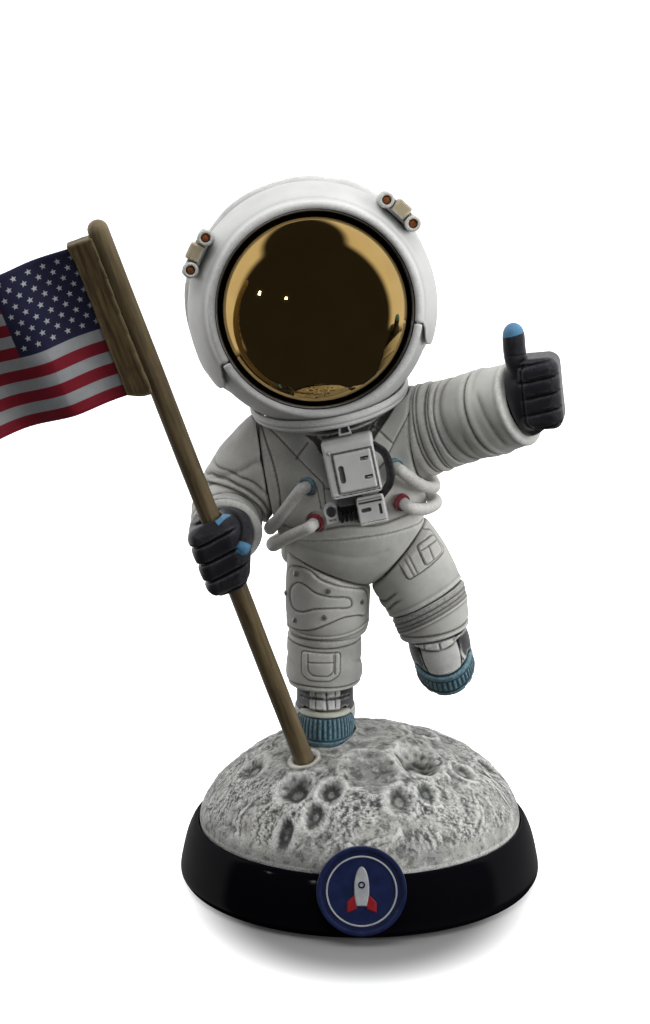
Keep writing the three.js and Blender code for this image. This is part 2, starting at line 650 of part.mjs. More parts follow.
// ---------------------------------------------------------------- right arm, with its fist round the pole
function buildRightArm() {
  const length = ELBOW_R.distanceTo(WRIST_R);
  const cuff = limb([[-5, 6.6], [0, 8.1], [length * 0.5, 8.4], [length, 8.1]], 22);
  node(cuffRightGroup, "cuff_right", cut(cuff, rod(PALM_PLUG_R + GAP, length - 3, length + 1, 24)), SUIT);
  const shoulder = ball(8.4, 9.8, 12.6, 16).translate(-22.4, 0.4, 101.4);
  const upper = limb([[0, 8.4], [5, 9.2], [12, 9.4], [17, 8]]).applyMatrix4(
    frameAt(vec(-30.4, 2.4, 91), along(vec(-30.4, 2.4, 91), vec(-22, 0, 105))),
  );
  const cuffEnvelope = outOf(cuffRightGroup, rod(8.4 + GAP, -6, length + 6, 20));
  const arm = cut(
    join(shoulder, upper),
    beyond(offset(SHOULDER_R, SHOULDER_R_NORMAL, GAP / 2), SHOULDER_R_NORMAL.clone().negate()),
    cuffEnvelope,
    ball(HEAD_SWEEP_R, undefined, undefined, 24).translate(...HEAD_CENTRE.toArray()),
    ringEnvelope,
  );
  node(figure, "upper_arm_right", arm, SUIT);
}

function buildRightHand() {
  const middle = (GRIP_HEIGHT - POLE_FOOT.z) / along(POLE_FOOT, POLE_TIP).z; // along the pole
  const fist = outOf(poleGroup, softBox(12.4, 12, 18, 4.4, 2.8).translate(-0.3, 0, middle));
  const reach = ELBOW_R.distanceTo(WRIST_R);
  const wrist = outOf(cuffRightGroup, rod(PALM_PLUG_R, reach - 2.7, reach + 4, 24));
  const clear = beyond(offset(WRIST_R, along(ELBOW_R, WRIST_R), GAP), along(WRIST_R, ELBOW_R));
  const hole = outOf(poleGroup, rod(POLE_R + GAP + 0.1, -10, 90, 18));
  node(figure, "glove_right", cut(join(cut(fist, clear), wrist), hole), RUBBER);
}

buildLeftArm();
buildLeftHand();
buildRightArm();
buildRightHand();

// ------------------------------------------------ head: the head's frame has its visor towards -Y
// A solid turned about the head's forward axis, from [radius, distance forwards] pairs.
function faced(profile, segments = 28) {
  return turned(profile, segments).rotateX(Math.PI / 2);
}

function arc(radius, fromForward, toForward, steps) {
  const [from, to] = [fromForward, toForward].map((forward) => Math.acos(forward / radius));
  return Array.from({ length: steps + 1 }, (_, i) => {
    const angle = from + ((to - from) * i) / steps;
    return [radius * Math.sin(angle), radius * Math.cos(angle)];
  });
}

// The wedge below the head's horizon that the chin guard fills, grown or shrunk by `gap`.
function chinWedge(gap) {
  const reach = 60;
  const rise = reach * Math.tan(CHIN_ANGLE);
  const outline = new THREE.Shape();
  outline.moveTo(0, gap);
  for (const [x, y] of [[reach, -rise + gap], [reach, -70], [-reach, -70], [-reach, -rise + gap]]) {
    outline.lineTo(x, y);
  }
  return new THREE.ExtrudeGeometry(outline, { depth: 70, bevelEnabled: false })
    .rotateX(Math.PI / 2)
    .translate(0, 8, 0);
}

const hoodGap = 0.25;
function bezelProfile(outer, back) {
  const under = HELMET_R + hoodGap;
  const inner = arc(under, VISOR_RIM - 1.4, back, 4);
  const skin = arc(outer, back, VISOR_RIM - 1.5, 4);
  const lip = [[VISOR_RIM_R + 2, VISOR_RIM + 0.7], [VISOR_RIM_R + 1.15, VISOR_RIM + 0.6]];
  const edge = [[24.1, VISOR_RIM - 0.1], ...lip];
  return [inner.at(-1), ...skin, ...edge, ...inner];
}

function buildHelmet() {
  const back = -HELMET_R;
  const outside = arc(HELMET_R, back, VISOR_RIM - 1.4, 8);
  const inside = arc(HELMET_R - HELMET_WALL, VISOR_RIM - 1.8, -HELMET_R + HELMET_WALL, 5);
  outside[0][0] = 0;
  inside.at(-1)[0] = 0;
  const shell = faced([...outside, ...inside]);
  const neckHole = into(headGroup, outOf(neckGroup, rod(POST_R + NOD_CLEAR, -40, -10, 24)));
  node(headGroup, "helmet_shell", cut(shell, neckHole), SUIT);
  const hood = faced(bezelProfile(HOOD_R, -3));
  node(headGroup, "helmet_hood", cut(hood, chinWedge(GAP)), SUIT);
  const chin = faced(bezelProfile(HOOD_R, 14.3));
  node(headGroup, "chin_guard", common(chin, chinWedge(0)), SUIT);
}

function buildVisor() {
  const centre = VISOR_RIM - Math.sqrt(VISOR_R ** 2 - VISOR_RIM_R ** 2);
  const dome = (radius, steps) => {
    const points = [];
    const start = Math.asin(VISOR_RIM_R / VISOR_R);
    for (let i = 0; i <= steps; i++) {
      const angle = start * (1 - i / steps);
      points.push([radius * Math.sin(angle), centre + radius * Math.cos(angle)]);
    }
    points.at(-1)[0] = 0;
    return points;
  };
  const skin = dome(VISOR_R, 5);
  node(headGroup, "visor", faced([...skin, ...dome(VISOR_R - 1.5, 3).reverse(), skin[0]]), GOLD);
  const [inner, outer] = [VISOR_RIM_R + 0.25, VISOR_RIM_R + 0.85];
  const [back, front] = [VISOR_RIM - 0.6, VISOR_RIM + 1.6];
  const gasket = faced([[inner, back], [outer, back + 0.6], [outer, front], [inner, front], [inner, back]]);
  node(headGroup, "visor_gasket", gasket, RUBBER);
}

function buildNeckSocket() {
  const cup = turned([[0, -2.2], [7.2, -2.2], [7.2, 4], [4.6, 7], [0, 7]], 20);
  const bracket = new THREE.BoxGeometry(5, 17.8, 5).translate(0, 14.55, 3);
  const inHead = outOf(headGroup, bracket);
  const seat = outOf(neckGroup, ball(BALL_R + 0.4, undefined, undefined, 20));
  const socket = cut(join(outOf(neckGroup, cup), inHead), seat);
  node(headGroup, "neck_socket", into(headGroup, socket), STEEL);
}

function buildLamps() {
  for (const [name, side] of [["left", 1], ["right", -1]]) {
    const [low, back, front] = [HOOD_R - 3, 2.5, LAMP_FRONT - 3];
    const slope = [[30.3, back], [30.6, front - 1.2], [29.6, front]];
    const outline = [[low, back], ...slope, [low, front], [low, back]];
    const block = faced(outline, 40);
    const sector = new THREE.Shape();
    sector.moveTo(0, 0);
    for (const angle of [16 * DEG, 48 * DEG]) sector.lineTo(60 * Math.cos(angle), 60 * Math.sin(angle));
    const wedge = new THREE.ExtrudeGeometry(sector, { depth: 40, bevelEnabled: false }).rotateX(Math.PI / 2);
    const [shoulder, rim, floor] = [LAMP_FRONT - 0.4, LAMP_FRONT, LAMP_FRONT - 1.4];
    const barrel = [[0, 4.4], [LAMP_R, 4.4], [LAMP_R, shoulder], [1.1, rim], [1.1, floor], [0, floor]];
    const barrels = LAMP_ANGLES.map((a) =>
      turned(barrel, 16)
        .rotateX(Math.PI / 2)
        .translate(LAMP_RING_R * Math.cos(a), 0, LAMP_RING_R * Math.sin(a)),
    );
    const clear = ball(HOOD_R + 2 * GAP, undefined, undefined, 30);
    const pod = cut(join(common(block, wedge), ...barrels), clear);
    if (side < 0) pod.applyMatrix4(new THREE.Matrix4().makeScale(-1, 1, 1));
    const podGeometry = side < 0 ? flipped(pod) : pod;
    node(headGroup, `lamp_pod_${name}`, podGeometry, SUIT_TRIM);
    LAMP_ANGLES.forEach((a, i) => {
      const lens = turned([[0, floor + 0.2], [0.85, floor + 0.2], [0.85, floor + 0.8], [0, floor + 1.2]], 14)
        .rotateX(Math.PI / 2)
        .translate(side * LAMP_RING_R * Math.cos(a), 0, LAMP_RING_R * Math.sin(a));
      node(headGroup, `lamp_lens_${name}_${i + 1}`, lens, AMBER);
    });
  }
}

// A mirrored geometry with its faces turned outwards again.
function flipped(geometry) {
  const index = geometry.index.array;
  for (let i = 0; i < index.length; i += 3) [index[i + 1], index[i + 2]] = [index[i + 2], index[i + 1]];
  return geometry;
}

buildHelmet();
buildVisor();
buildNeckSocket();
buildLamps();

// ------------------------------------------------ flag: its frame has +Z up the pole, and it flies to -X
function buildFlag() {
  const length = POLE_FOOT.distanceTo(POLE_TIP);
  const pole = turned(
    [[0, -POLE_SOCKET], [POLE_R, -POLE_SOCKET], [POLE_R, length - 2], [1.6, length - 0.4], [0, length]],
    20,
  );
  node(poleGroup, "flag_pole", pole, BRONZE);
  const [low, high] = SLEEVE_Z;
  const middle = (low + high) / 2;
  const strip = softBox(TONGUE_REACH, 4.2, high - low, 0.8, 0.6).translate(-TONGUE_REACH / 2 - 0.4, 0, middle);
  const slot = new THREE.BoxGeometry(2.6, FLAG_T + 2 * GAP, FLAG_HOIST + 2 * GAP);
  slot.translate(-TONGUE_REACH, 0, middle);
  node(poleGroup, "flag_sleeve", cut(strip, rod(POLE_R + GAP, low - 5, high + 5, 20), slot), BRONZE);
  const outline = new THREE.Shape();
  const start = TONGUE_REACH - 1;
  const steps = 18;
  const wave = (s) => {
    const phase = (2 * Math.PI * s) / FLAG_WAVE.length;
    return FLAG_WAVE.height * Math.sin(phase) * Math.min(s / 14, 1);
  };
  const edge = (side) =>
    Array.from({ length: steps + 1 }, (_, i) => {
      const s = (FLAG_FLY * i) / steps;
      return new THREE.Vector2(-start - s, wave(s) + side * FLAG_T / 2);
    });
  outline.setFromPoints([...edge(-1), ...edge(1).reverse()]);
  const flag = new THREE.ExtrudeGeometry(outline, { depth: FLAG_HOIST, bevelEnabled: false })
    .translate(0, 0, (low + high) / 2 - FLAG_HOIST / 2);
  node(poleGroup, "flag", flag, CLOTH_PRINT);
}

buildFlag();

export default figure;
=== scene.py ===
"""Looks for the astronaut display figure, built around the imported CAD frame.

Points and sizes are in millimetres in the part's frame, +Z up with the figure facing -Y, and become
metres when a mesh is made.
"""
import math

import bpy
import numpy as np
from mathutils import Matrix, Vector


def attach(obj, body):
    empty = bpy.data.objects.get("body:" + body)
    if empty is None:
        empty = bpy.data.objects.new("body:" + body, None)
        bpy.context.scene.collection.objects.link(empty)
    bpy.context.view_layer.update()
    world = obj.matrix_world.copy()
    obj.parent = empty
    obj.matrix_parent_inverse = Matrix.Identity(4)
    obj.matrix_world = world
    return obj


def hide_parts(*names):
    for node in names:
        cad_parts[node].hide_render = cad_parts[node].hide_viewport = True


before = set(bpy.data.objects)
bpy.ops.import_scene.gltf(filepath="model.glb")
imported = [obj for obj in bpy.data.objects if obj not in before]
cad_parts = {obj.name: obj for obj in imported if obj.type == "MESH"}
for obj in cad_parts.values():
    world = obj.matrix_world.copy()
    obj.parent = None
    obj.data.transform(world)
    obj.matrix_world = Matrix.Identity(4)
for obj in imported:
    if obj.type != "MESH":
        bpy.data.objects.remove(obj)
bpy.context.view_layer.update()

MM = 0.001
GAP = 0.3  # clearance between pieces that touch
PEG_R = 3.4  # pegs of the shoulder and the hip
PALM_PLUG_R = 6.2  # plug of a hand in its cuff
COARSE = 1.0


# ------------------------------------------------------------------ vectors and frames
def vec(*values):
    return np.array(values, float)


def unit(v):
    v = np.asarray(v, float)
    return v / np.linalg.norm(v)


class Frame:
    """Turned axes at an origin: z lies along up, and -y is as near to front as it can be."""

    def __init__(self, origin, up=(0, 0, 1), front=(0, -1, 0)):
        self.origin = np.asarray(origin, float)
        z = unit(up)
        front = np.asarray(front, float)
        y = unit(np.dot(front, z) * z - front)
        self.axes = np.array([np.cross(y, z), y, z])

    def local(self, points):
        return (points - self.origin) @ self.axes.T

    def world(self, points):
        return np.asarray(points, float) @ self.axes + self.origin


# ---------------------------------------------------------------- driving values, as in the CAD unless noted
PLINTH_R = 43
PLINTH_TOP = 14.6
PLINTH_LEAN = math.radians(14)
PLATE_R = 39.2
ROCK_R = 38.3
ROCK_FOOT = 14.5
ROCK_RISE = 22.5
ROCK_SQUARENESS = 1.85
EMBLEM_R = 10.25
POLE_R = 2.35
POLE_FOOT = vec(-13.2, -13, 33.6)
POLE_TIP = vec(-58.9, -26, 163.1)
POLE_LENGTH = np.linalg.norm(POLE_TIP - POLE_FOOT)
SLEEVE_Z = (96.7, 134.9)
FLAG_START = 5.9
FLAG_FLY = 54
FLAG_HOIST = 36
HEAD_CENTRE = vec(-11.15, -2.3, 139.3)
NECK_AXIS = unit((-0.174, -0.12, 0.977))
HELMET_R = 27.2
HOOD_R = 28.6
HEAD_SWEEP_R = HOOD_R + 0.8  # room that the turning head needs, 0.1 more than in the CAD
VISOR_R = 23.6
VISOR_RIM_R = 21.4
VISOR_RIM = 16.7  # how far forward its rim stands
LAMP_ANGLES = [math.radians(44.7), math.radians(29)]
LAMP_RING_R = 29.1
WAIST = vec(-1.9, 0, 87.4)
WAIST_NORMAL = unit((-0.104, 0, 0.995))
SPINE = unit((-0.176, 0, 0.984))
SHOULDER_L = vec(13.3, -0.5, 109.5)
SHOULDER_L_NORMAL = unit((0.97, -0.2, 0.1))
ELBOW_L = vec(22, -4.5, 112.8)
WRIST_L = vec(36.3, -12.6, 119)
SHOULDER_R = vec(-22, 0, 100)
SHOULDER_R_NORMAL = unit((-0.985, 0, -0.17))
ELBOW_R = vec(-31, 3.5, 91.5)
WRIST_R = vec(-31.2, -11.5, 87.8)
LEG_POINT = vec(-7.5, 0, 77)
LEG_NORMAL = unit((0.41, 0, 0.91))
HIP = vec(9.1, 0, 81)
HIP_NORMAL = unit((0.78, 0, -0.62))
KNEE = vec(15.6, -1.4, 69.4)
ANKLE = vec(17.6, -1.2, 61.2)
LEG_X = -8.3
SOLE_Z = 35.4
BOOT_TOP = 13.3  # of the standing boot, above its sole's underside

POLE = Frame(POLE_FOOT, POLE_TIP - POLE_FOOT)
NECK = Frame(HEAD_CENTRE, NECK_AXIS)
HEAD = Frame(HEAD_CENTRE, (-0.2034, 0.1402, 0.969), (0.0397, -0.9877, 0.1513))
TRUNK = Frame(WAIST, SPINE)
BADGE = Frame((0, -42.2, 12.3), (0, -math.cos(PLINTH_LEAN), math.sin(PLINTH_LEAN)), (0, 0, -1))
ARM_L = Frame(SHOULDER_L, ELBOW_L - SHOULDER_L)
CUFF_L = Frame(ELBOW_L, WRIST_L - ELBOW_L)
CUFF_R = Frame(ELBOW_R, WRIST_R - ELBOW_R, (0, 0, -1))
THIGH = Frame(KNEE, HIP - KNEE)
SHIN = Frame(ANKLE, KNEE - ANKLE)
BOOT_DOWN = Frame((LEG_X, 2.4, SOLE_Z))
BOOT_UP = Frame((19.9, 0.2, 53.6), (-0.22, -0.42, 0.88), (0.14, -1, -0.42))
PACK_UP = (-0.205, 0.156, 0.966)
PACK_FRONT = (-0.033, -0.988, 0.153)
LENGTH_CUFF_L = np.linalg.norm(WRIST_L - ELBOW_L)
LENGTH_CUFF_R = np.linalg.norm(WRIST_R - ELBOW_R)
LENGTH_SHIN = np.linalg.norm(KNEE - ANKLE)
LENGTH_THIGH = np.linalg.norm(HIP - KNEE)

HOSE_R = 1.4  # 0.05 less than in the CAD
HOSES = {
    "right_blue": ((-12.7, -14.1, 99.6), (-0.5, -0.86, -0.1),
                   [(-18.3, -12.6, 92.6), (-20.8, -5.6, 87.6), (-20.9, 3, 86), (-18.2, 9.8, 86.4)]),
    "right_red": ((-10.9, -14.9, 91.2), (-0.45, -0.88, -0.15),
                  [(-16.6, -13.2, 87.6), (-20, -7.4, 84), (-20.6, 2, 82), (-18.6, 9.8, 81.2)]),
    "left_blue": ((8, -13.6, 104), (0.45, -0.88, -0.1),
                  [(13.6, -11.8, 99.6), (16.8, -5.6, 97.4), (17, 3, 96.8), (15, 9.8, 97.2)]),
    "left_red": ((9.7, -13.6, 95.6), (0.62, -0.75, -0.25),
                 [(14.7, -11.6, 93.8), (17.3, -5.4, 93.4), (17.4, 3, 92.4), (15.6, 9.8, 91.6)]),
}


def hose_path(collar, out, route):
    collar = np.array(collar, float)
    out = unit(out)
    return np.array([collar - out, collar + 1.2 * out, collar + 2.6 * out, *map(np.array, route)])


# ------------------------------------------------------------------ smooth random values
def noise(points, size, seed=0):
    """Smooth random values from -1 to 1 that change over about one size."""
    q = points / size + 512.0
    cell = np.floor(q).astype(np.int64)
    t = q - cell
    t = t * t * (3 - 2 * t)
    total = np.zeros(len(points))
    for corner in range(8):
        step = np.array([corner & 1, corner >> 1 & 1, corner >> 2 & 1])
        at = cell + step
        h = at[:, 0] * 73856093 ^ at[:, 1] * 19349663 ^ at[:, 2] * 83492791 ^ (seed * 2654435 + 97)
        h = (h ^ (h >> 13)) * 1274126177 & 0x7FFFFFFF
        h = (h ^ (h >> 15)) * 668265263 & 0x7FFFFFFF
        weight = np.where(step == 1, t, 1 - t).prod(1)
        total += weight * (h / 0x3FFFFFFF - 1)
    return total


def rough(points, size, octaves=4, seed=0, keep=0.5):
    """Several sizes of noise added up."""
    total = np.zeros(len(points))
    share = 1.0
    for octave in range(octaves):
        total += share * noise(points, size / 2**octave, seed + octave)
        share *= keep
    return total


# ------------------------------------------------------------------ solids as distance fields
def length(v):
    return np.sqrt((v * v).sum(-1))


def smooth(x, low, high):
    """0 below low, 1 above high, and a soft step between them."""
    t = np.clip((x - low) / (high - low), 0, 1)
    return t * t * (3 - 2 * t)


def join(a, b, round_=0.01):
    h = np.maximum(round_ - np.abs(a - b), 0) / round_
    return np.minimum(a, b) - h * h * round_ / 4


def common(a, b, round_=0.01):
    return -join(-a, -b, round_)


def carve(a, b, round_=0.01):
    return -join(-a, b, round_)


def egg(points, centre, radii):
    q = points - np.array(centre)
    k = length(q / np.array(radii))
    steep = length(q / np.array(radii) ** 2)
    return k * (k - 1) / np.maximum(steep, 1e-9)


def ball(points, centre, radius):
    return length(points - np.array(centre)) - radius


def beyond(points, at, normal):
    """Negative on the side of the plane that the normal leaves."""
    return (points - np.array(at)) @ unit(normal)


def capsule(points, a, b, radius):
    a = np.array(a, float)
    reach = np.array(b, float) - a
    t = np.clip((points - a) @ reach / (reach @ reach), 0, 1)
    return length(points - a - t[:, None] * reach) - radius


def string(points, route, radius):
    """A round bar along straight stretches."""
    total = np.full(len(points), 1e9)
    for a, b in zip(route[:-1], route[1:]):
        total = np.minimum(total, capsule(points, a, b, radius))
    return total


def block(q, half, edge):
    """A box with rounded edges about the origin, in its own frame."""
    d = np.abs(q) - np.array(half) + edge
    return length(np.maximum(d, 0)) + np.minimum(d.max(-1), 0) - edge


def rod(q, radius, low, high, edge=0.01):
    ends = np.abs(q[:, 2] - (low + high) / 2) - (high - low) / 2
    return common(np.hypot(q[:, 0], q[:, 1]) - radius, ends, edge)


def through(stations):
    """A smooth function through (place, value) stations."""
    x, y = np.array(stations, float).T
    slope = np.gradient(y, x)

    def at(place):
        place = np.clip(place, x[0], x[-1])
        i = np.clip(np.searchsorted(x, place, side="right") - 1, 0, len(x) - 2)
        step = x[i + 1] - x[i]
        t = (place - x[i]) / step
        a = (1 + 2 * t) * (1 - t) ** 2 * y[i] + t * (1 - t) ** 2 * step * slope[i]
        b = t * t * (3 - 2 * t) * y[i + 1] + t * t * (t - 1) * step * slope[i + 1]
        return a + b

    return at


def limb(q, stations, edge=1.2):
    """A limb about its own z axis with (height, radius) stations and soft ends."""
    radius = through(stations)(q[:, 2])
    low, high = stations[0][0], stations[-1][0]
    side = np.hypot(q[:, 0], q[:, 1]) - radius
    return common(side, np.maximum(low - q[:, 2], q[:, 2] - high), edge)


# ------------------------------------------------------------------ meshes
def loops_of(faces):
    return [faces] if isinstance(faces, np.ndarray) else faces


def build(name, body, slot, material, points, faces, nodes=(), **layers):
    """A mesh object from points in millimetres and one or more arrays of faces."""
    groups = [g for g in loops_of(faces) if len(g)]
    mesh = bpy.data.meshes.new(name)
    mesh.vertices.add(len(points))
    mesh.vertices.foreach_set("co", (np.asarray(points) * MM).astype(np.float32).ravel())
    corners = np.concatenate([g.ravel() for g in groups]).astype(np.int32)
    sizes = np.concatenate([np.full(len(g), g.shape[1]) for g in groups])
    mesh.loops.add(len(corners))
    mesh.loops.foreach_set("vertex_index", corners)
    mesh.polygons.add(len(sizes))
    mesh.polygons.foreach_set("loop_start", np.concatenate([[0], np.cumsum(sizes)[:-1]]).astype(np.int32))
    mesh.polygons.foreach_set("use_smooth", np.ones(len(sizes), bool))
    mesh.update(calc_edges=True)
    mesh.validate()
    for key, values in layers.items():
        layer = mesh.attributes.new(key, "FLOAT", "POINT")
        layer.data.foreach_set("value", np.asarray(values, np.float32))
    made = bpy.data.objects.new(name, mesh)
    bpy.context.scene.collection.objects.link(made)
    made.data.materials.append(material)
    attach(made, body)
    if nodes:
        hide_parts(*nodes)
    return made


CORNERS = np.array([(i, j, k) for i in (0, 1) for j in (0, 1) for k in (0, 1)])
CELL_EDGES = [
    (a, b) for a in range(8) for b in range(a + 1, 8) if np.abs(CORNERS[a] - CORNERS[b]).sum() == 1
]


def net(values, low, step):
    """Points and quads of the surface where a grid of distances passes through zero."""
    inside = values < 0
    shape = np.array(values.shape) - 1
    spans = [[slice(c, c + n) for c, n in zip(corner, shape)] for corner in CORNERS]
    count = sum(inside[tuple(s)].astype(int) for s in spans)
    cells = np.argwhere((count > 0) & (count < 8))
    index = np.full(shape, -1)
    index[tuple(cells.T)] = np.arange(len(cells))
    total = np.zeros((len(cells), 3))
    hits = np.zeros(len(cells))
    for a, b in CELL_EDGES:
        va = values[tuple((cells + CORNERS[a]).T)]
        vb = values[tuple((cells + CORNERS[b]).T)]
        crossed = (va < 0) != (vb < 0)
        t = np.where(crossed, va / np.where(crossed, va - vb, 1), 0)
        total += crossed[:, None] * (CORNERS[a] + t[:, None] * (CORNERS[b] - CORNERS[a]))
        hits += crossed
    points = low + step * (cells + total / hits[:, None])
    faces = []
    for axis in range(3):
        b = np.eye(3, dtype=int)[(axis + 1) % 3]
        c = np.eye(3, dtype=int)[(axis + 2) % 3]
        first = np.take(inside, np.arange(inside.shape[axis] - 1), axis)
        second = np.take(inside, np.arange(1, inside.shape[axis]), axis)
        for edges, turn in ((first & ~second, False), (~first & second, True)):
            e = np.argwhere(edges)
            quad = np.stack([index[tuple((e - o).T)] for o in (b + c, c, 0 * c, b)], 1)
            faces.append(quad[:, ::-1] if turn else quad)
    return points, np.concatenate(faces)


def split(points, faces):
    """Each quad becomes four."""
    pairs = np.sort(np.stack([faces, np.roll(faces, -1, 1)], -1).reshape(-1, 2), 1)
    keys = pairs[:, 0] * len(points) + pairs[:, 1]
    unique, inverse = np.unique(keys, return_inverse=True)
    ends = np.stack([unique // len(points), unique % len(points)], 1)
    middle = len(points) + inverse.reshape(-1, 4)
    centre = len(points) + len(unique) + np.arange(len(faces))
    quads = [np.stack([faces[:, i], middle[:, i], centre, middle[:, i - 1]], 1) for i in range(4)]
    return np.concatenate([points, points[ends].mean(1), points[faces].mean(1)]), np.concatenate(quads)


def edges_of(groups):
    pairs = [np.stack([g, np.roll(g, -1, 1)], -1).reshape(-1, 2) for g in loops_of(groups)]
    return np.unique(np.sort(np.concatenate(pairs), 1), axis=0)


def relaxed(points, edges, rounds, share=0.5):
    count = len(points)
    degree = np.maximum(np.bincount(edges.ravel(), minlength=count), 1)[:, None]
    a, b = edges.T
    for _ in range(rounds):
        total = [
            np.bincount(a, points[b, i], count) + np.bincount(b, points[a, i], count) for i in range(3)
        ]
        points = points + share * (np.stack(total, 1) / degree - points)
    return points


def normals_of(points, groups):
    total = np.zeros_like(points)
    for g in loops_of(groups):
        n = np.cross(points[g[:, 2]] - points[g[:, 0]], points[g[:, -1]] - points[g[:, 1]])
        for corner in range(g.shape[1]):
            for i in range(3):
                total[:, i] += np.bincount(g[:, corner], n[:, i], len(points))
    return total / np.maximum(length(total), 1e-12)[:, None]


def hollows(points, groups, fine=0.05, broad=0.14, rounds=(4, 36)):
    """How far each point lies in a hollow and on an edge, from 0 to 1: hollows get a paint wash with painted
    shade, edges get wear with a painted highlight.
    """
    edges = edges_of(groups)
    normals = normals_of(points, groups)
    near = ((relaxed(points, edges, rounds[0]) - points) * normals).sum(1)
    far = ((relaxed(points, edges, rounds[1]) - points) * normals).sum(1)
    # Hollows, fine and broad, are painted darker: partly the figure's paint wash, partly painted shade.
    # Edges are painted lighter: partly wear, partly a painted highlight.
    wash = np.clip(near / fine, 0, 1) + np.clip(far / broad, 0, 1) * 0.7
    worn = np.clip(-near / fine, 0, 1) + np.clip(-(far + 0.02) / broad, 0, 1) * 0.5
    return np.clip(wash, 0, 1), np.clip(worn, 0, 1)


def settle(points, field, rounds):
    """Moves points onto the surface of a field."""
    h = 0.02
    for _ in range(rounds):
        d = field(points)
        g = np.stack([(field(points + h * axis) - d) / h for axis in np.eye(3)], 1)
        steep = np.maximum((g * g).sum(1), 0.2)
        points = points - np.clip(d / steep, -0.5, 0.5)[:, None] * g
    return points


class Relief:
    """Surface detail on a piece: how far each point is lifted, and its paint."""

    def __init__(self, points, normals):
        self.points = points
        self.normals = normals
        self.lift = np.zeros(len(points))
        self.wash = np.zeros(len(points))
        self.tint = np.zeros(len(points))
        self.front = smooth(-normals[:, 1], 0.0, 0.25)

    def seen(self):
        """The points as seen from the front: x and z."""
        return self.points[:, [0, 2]]

    def groove(self, distance, width=0.3, depth=0.3, where=1.0, ink=0.8):
        mark = np.exp(-((distance / width) ** 2)) * where
        self.lift -= depth * mark
        self.wash = np.maximum(self.wash, ink * mark)

    def piping(self, distance, width=0.35, height=0.25, where=1.0):
        """A raised cord with a fine dark line on each side."""
        self.lift += height * np.exp(-((distance / width) ** 2)) * where
        foot = np.exp(-(((np.abs(distance) - 1.7 * width) / (0.6 * width)) ** 2))
        self.wash = np.maximum(self.wash, 0.7 * foot * where)

    def seam(self, flat, route, width=0.3, depth=0.3, where=None, closed=False, ink=0.8, sharp=False):
        where = self.front if where is None else where
        self.groove(to_route(flat, route, closed, sharp)[0], width, depth, where, ink)

    def patch(self, flat, route, height=0.35, edge=0.3, where=None, ink=0.7, sharp=False):
        """A raised area inside a closed route, with a fine groove round it."""
        where = self.front if where is None else where
        distance, inside = to_route(flat, route, True, sharp)
        signed = np.where(inside, -distance, distance)
        self.lift += height * where * (1 - smooth(signed, -edge, edge))
        self.groove(signed - edge, edge * 0.7, height * 0.5, where, ink)
        return signed


def curved(route, closed=False, parts=6):
    """A smooth line through the points of a route."""
    p = np.array(route, float)
    if closed:
        p = np.concatenate([p[-1:], p, p[:2]])
    else:
        p = np.concatenate([2 * p[:1] - p[1:2], p, 2 * p[-1:] - p[-2:-1]])
    out = []
    for a, b, c, d in zip(p[:-3], p[1:-2], p[2:-1], p[3:]):
        for t in np.arange(parts) / parts:
            out.append(b + 0.5 * t * (c - a + t * (2 * a - 5 * b + 4 * c - d + t * (3 * (b - c) + d - a))))
    if not closed:
        out.append(p[-2])
    return np.array(out)


def to_route(flat, route, closed=False, sharp=False):
    """Distance of flat points from a route, smooth or with small round corners, and what lies inside it."""
    line = rounded(route, 0.7, 9, closed) if sharp else curved(route, closed, 5)
    ends = np.roll(line, -1, 0) if closed else line[1:]
    starts = line if closed else line[:-1]
    best = np.full(len(flat), 1e9)
    inside = np.zeros(len(flat), bool)
    x, y = flat.T
    for a, b in zip(starts, ends):
        reach = b - a
        t = np.clip(((flat - a) @ reach) / max(reach @ reach, 1e-12), 0, 1)
        best = np.minimum(best, length(flat - a - t[:, None] * reach))
        if closed and a[1] != b[1]:
            crossing = a[0] + (y - a[1]) * (b[0] - a[0]) / (b[1] - a[1])
            inside ^= ((a[1] > y) != (b[1] > y)) & (x < crossing)
    return best, inside


def sculpt(name, body, slot, material, field, box, step=0.5, detail=None, nodes=(), levels=1, **tuning):
    """A piece from a distance field: meshed on a grid, refined, settled on the field, then detailed."""
    step = step * COARSE
    low, high = (np.array(corner, float) for corner in box)
    axes = [np.arange(a, b + step, step) for a, b in zip(low, high)]
    grid = np.stack(np.meshgrid(*axes, indexing="ij"), -1)
    values = field(grid.reshape(-1, 3)).reshape(grid.shape[:3])
    for axis in range(3):  # a surface that meets the grid's side is closed there
        for end in (0, -1):
            np.moveaxis(values, axis, 0)[end] = np.maximum(np.moveaxis(values, axis, 0)[end], 0.01)
    points, faces = net(values, low, step)
    points = settle(relaxed(settle(points, field, 2), edges_of(faces), 1), field, 2)
    for _ in range(levels):
        points, faces = split(points, faces)
        points = settle(relaxed(points, edges_of(faces), 1, 0.3), field, 2)
    relief = Relief(points, normals_of(points, faces))
    if detail:
        detail(relief)
        points = points + relief.lift[:, None] * relief.normals
    wash, worn = hollows(points, faces, **tuning)
    wash = np.maximum(wash, relief.wash)
    return build(name, body, slot, material, points, faces, nodes, wash=wash, worn=worn, tint=relief.tint)


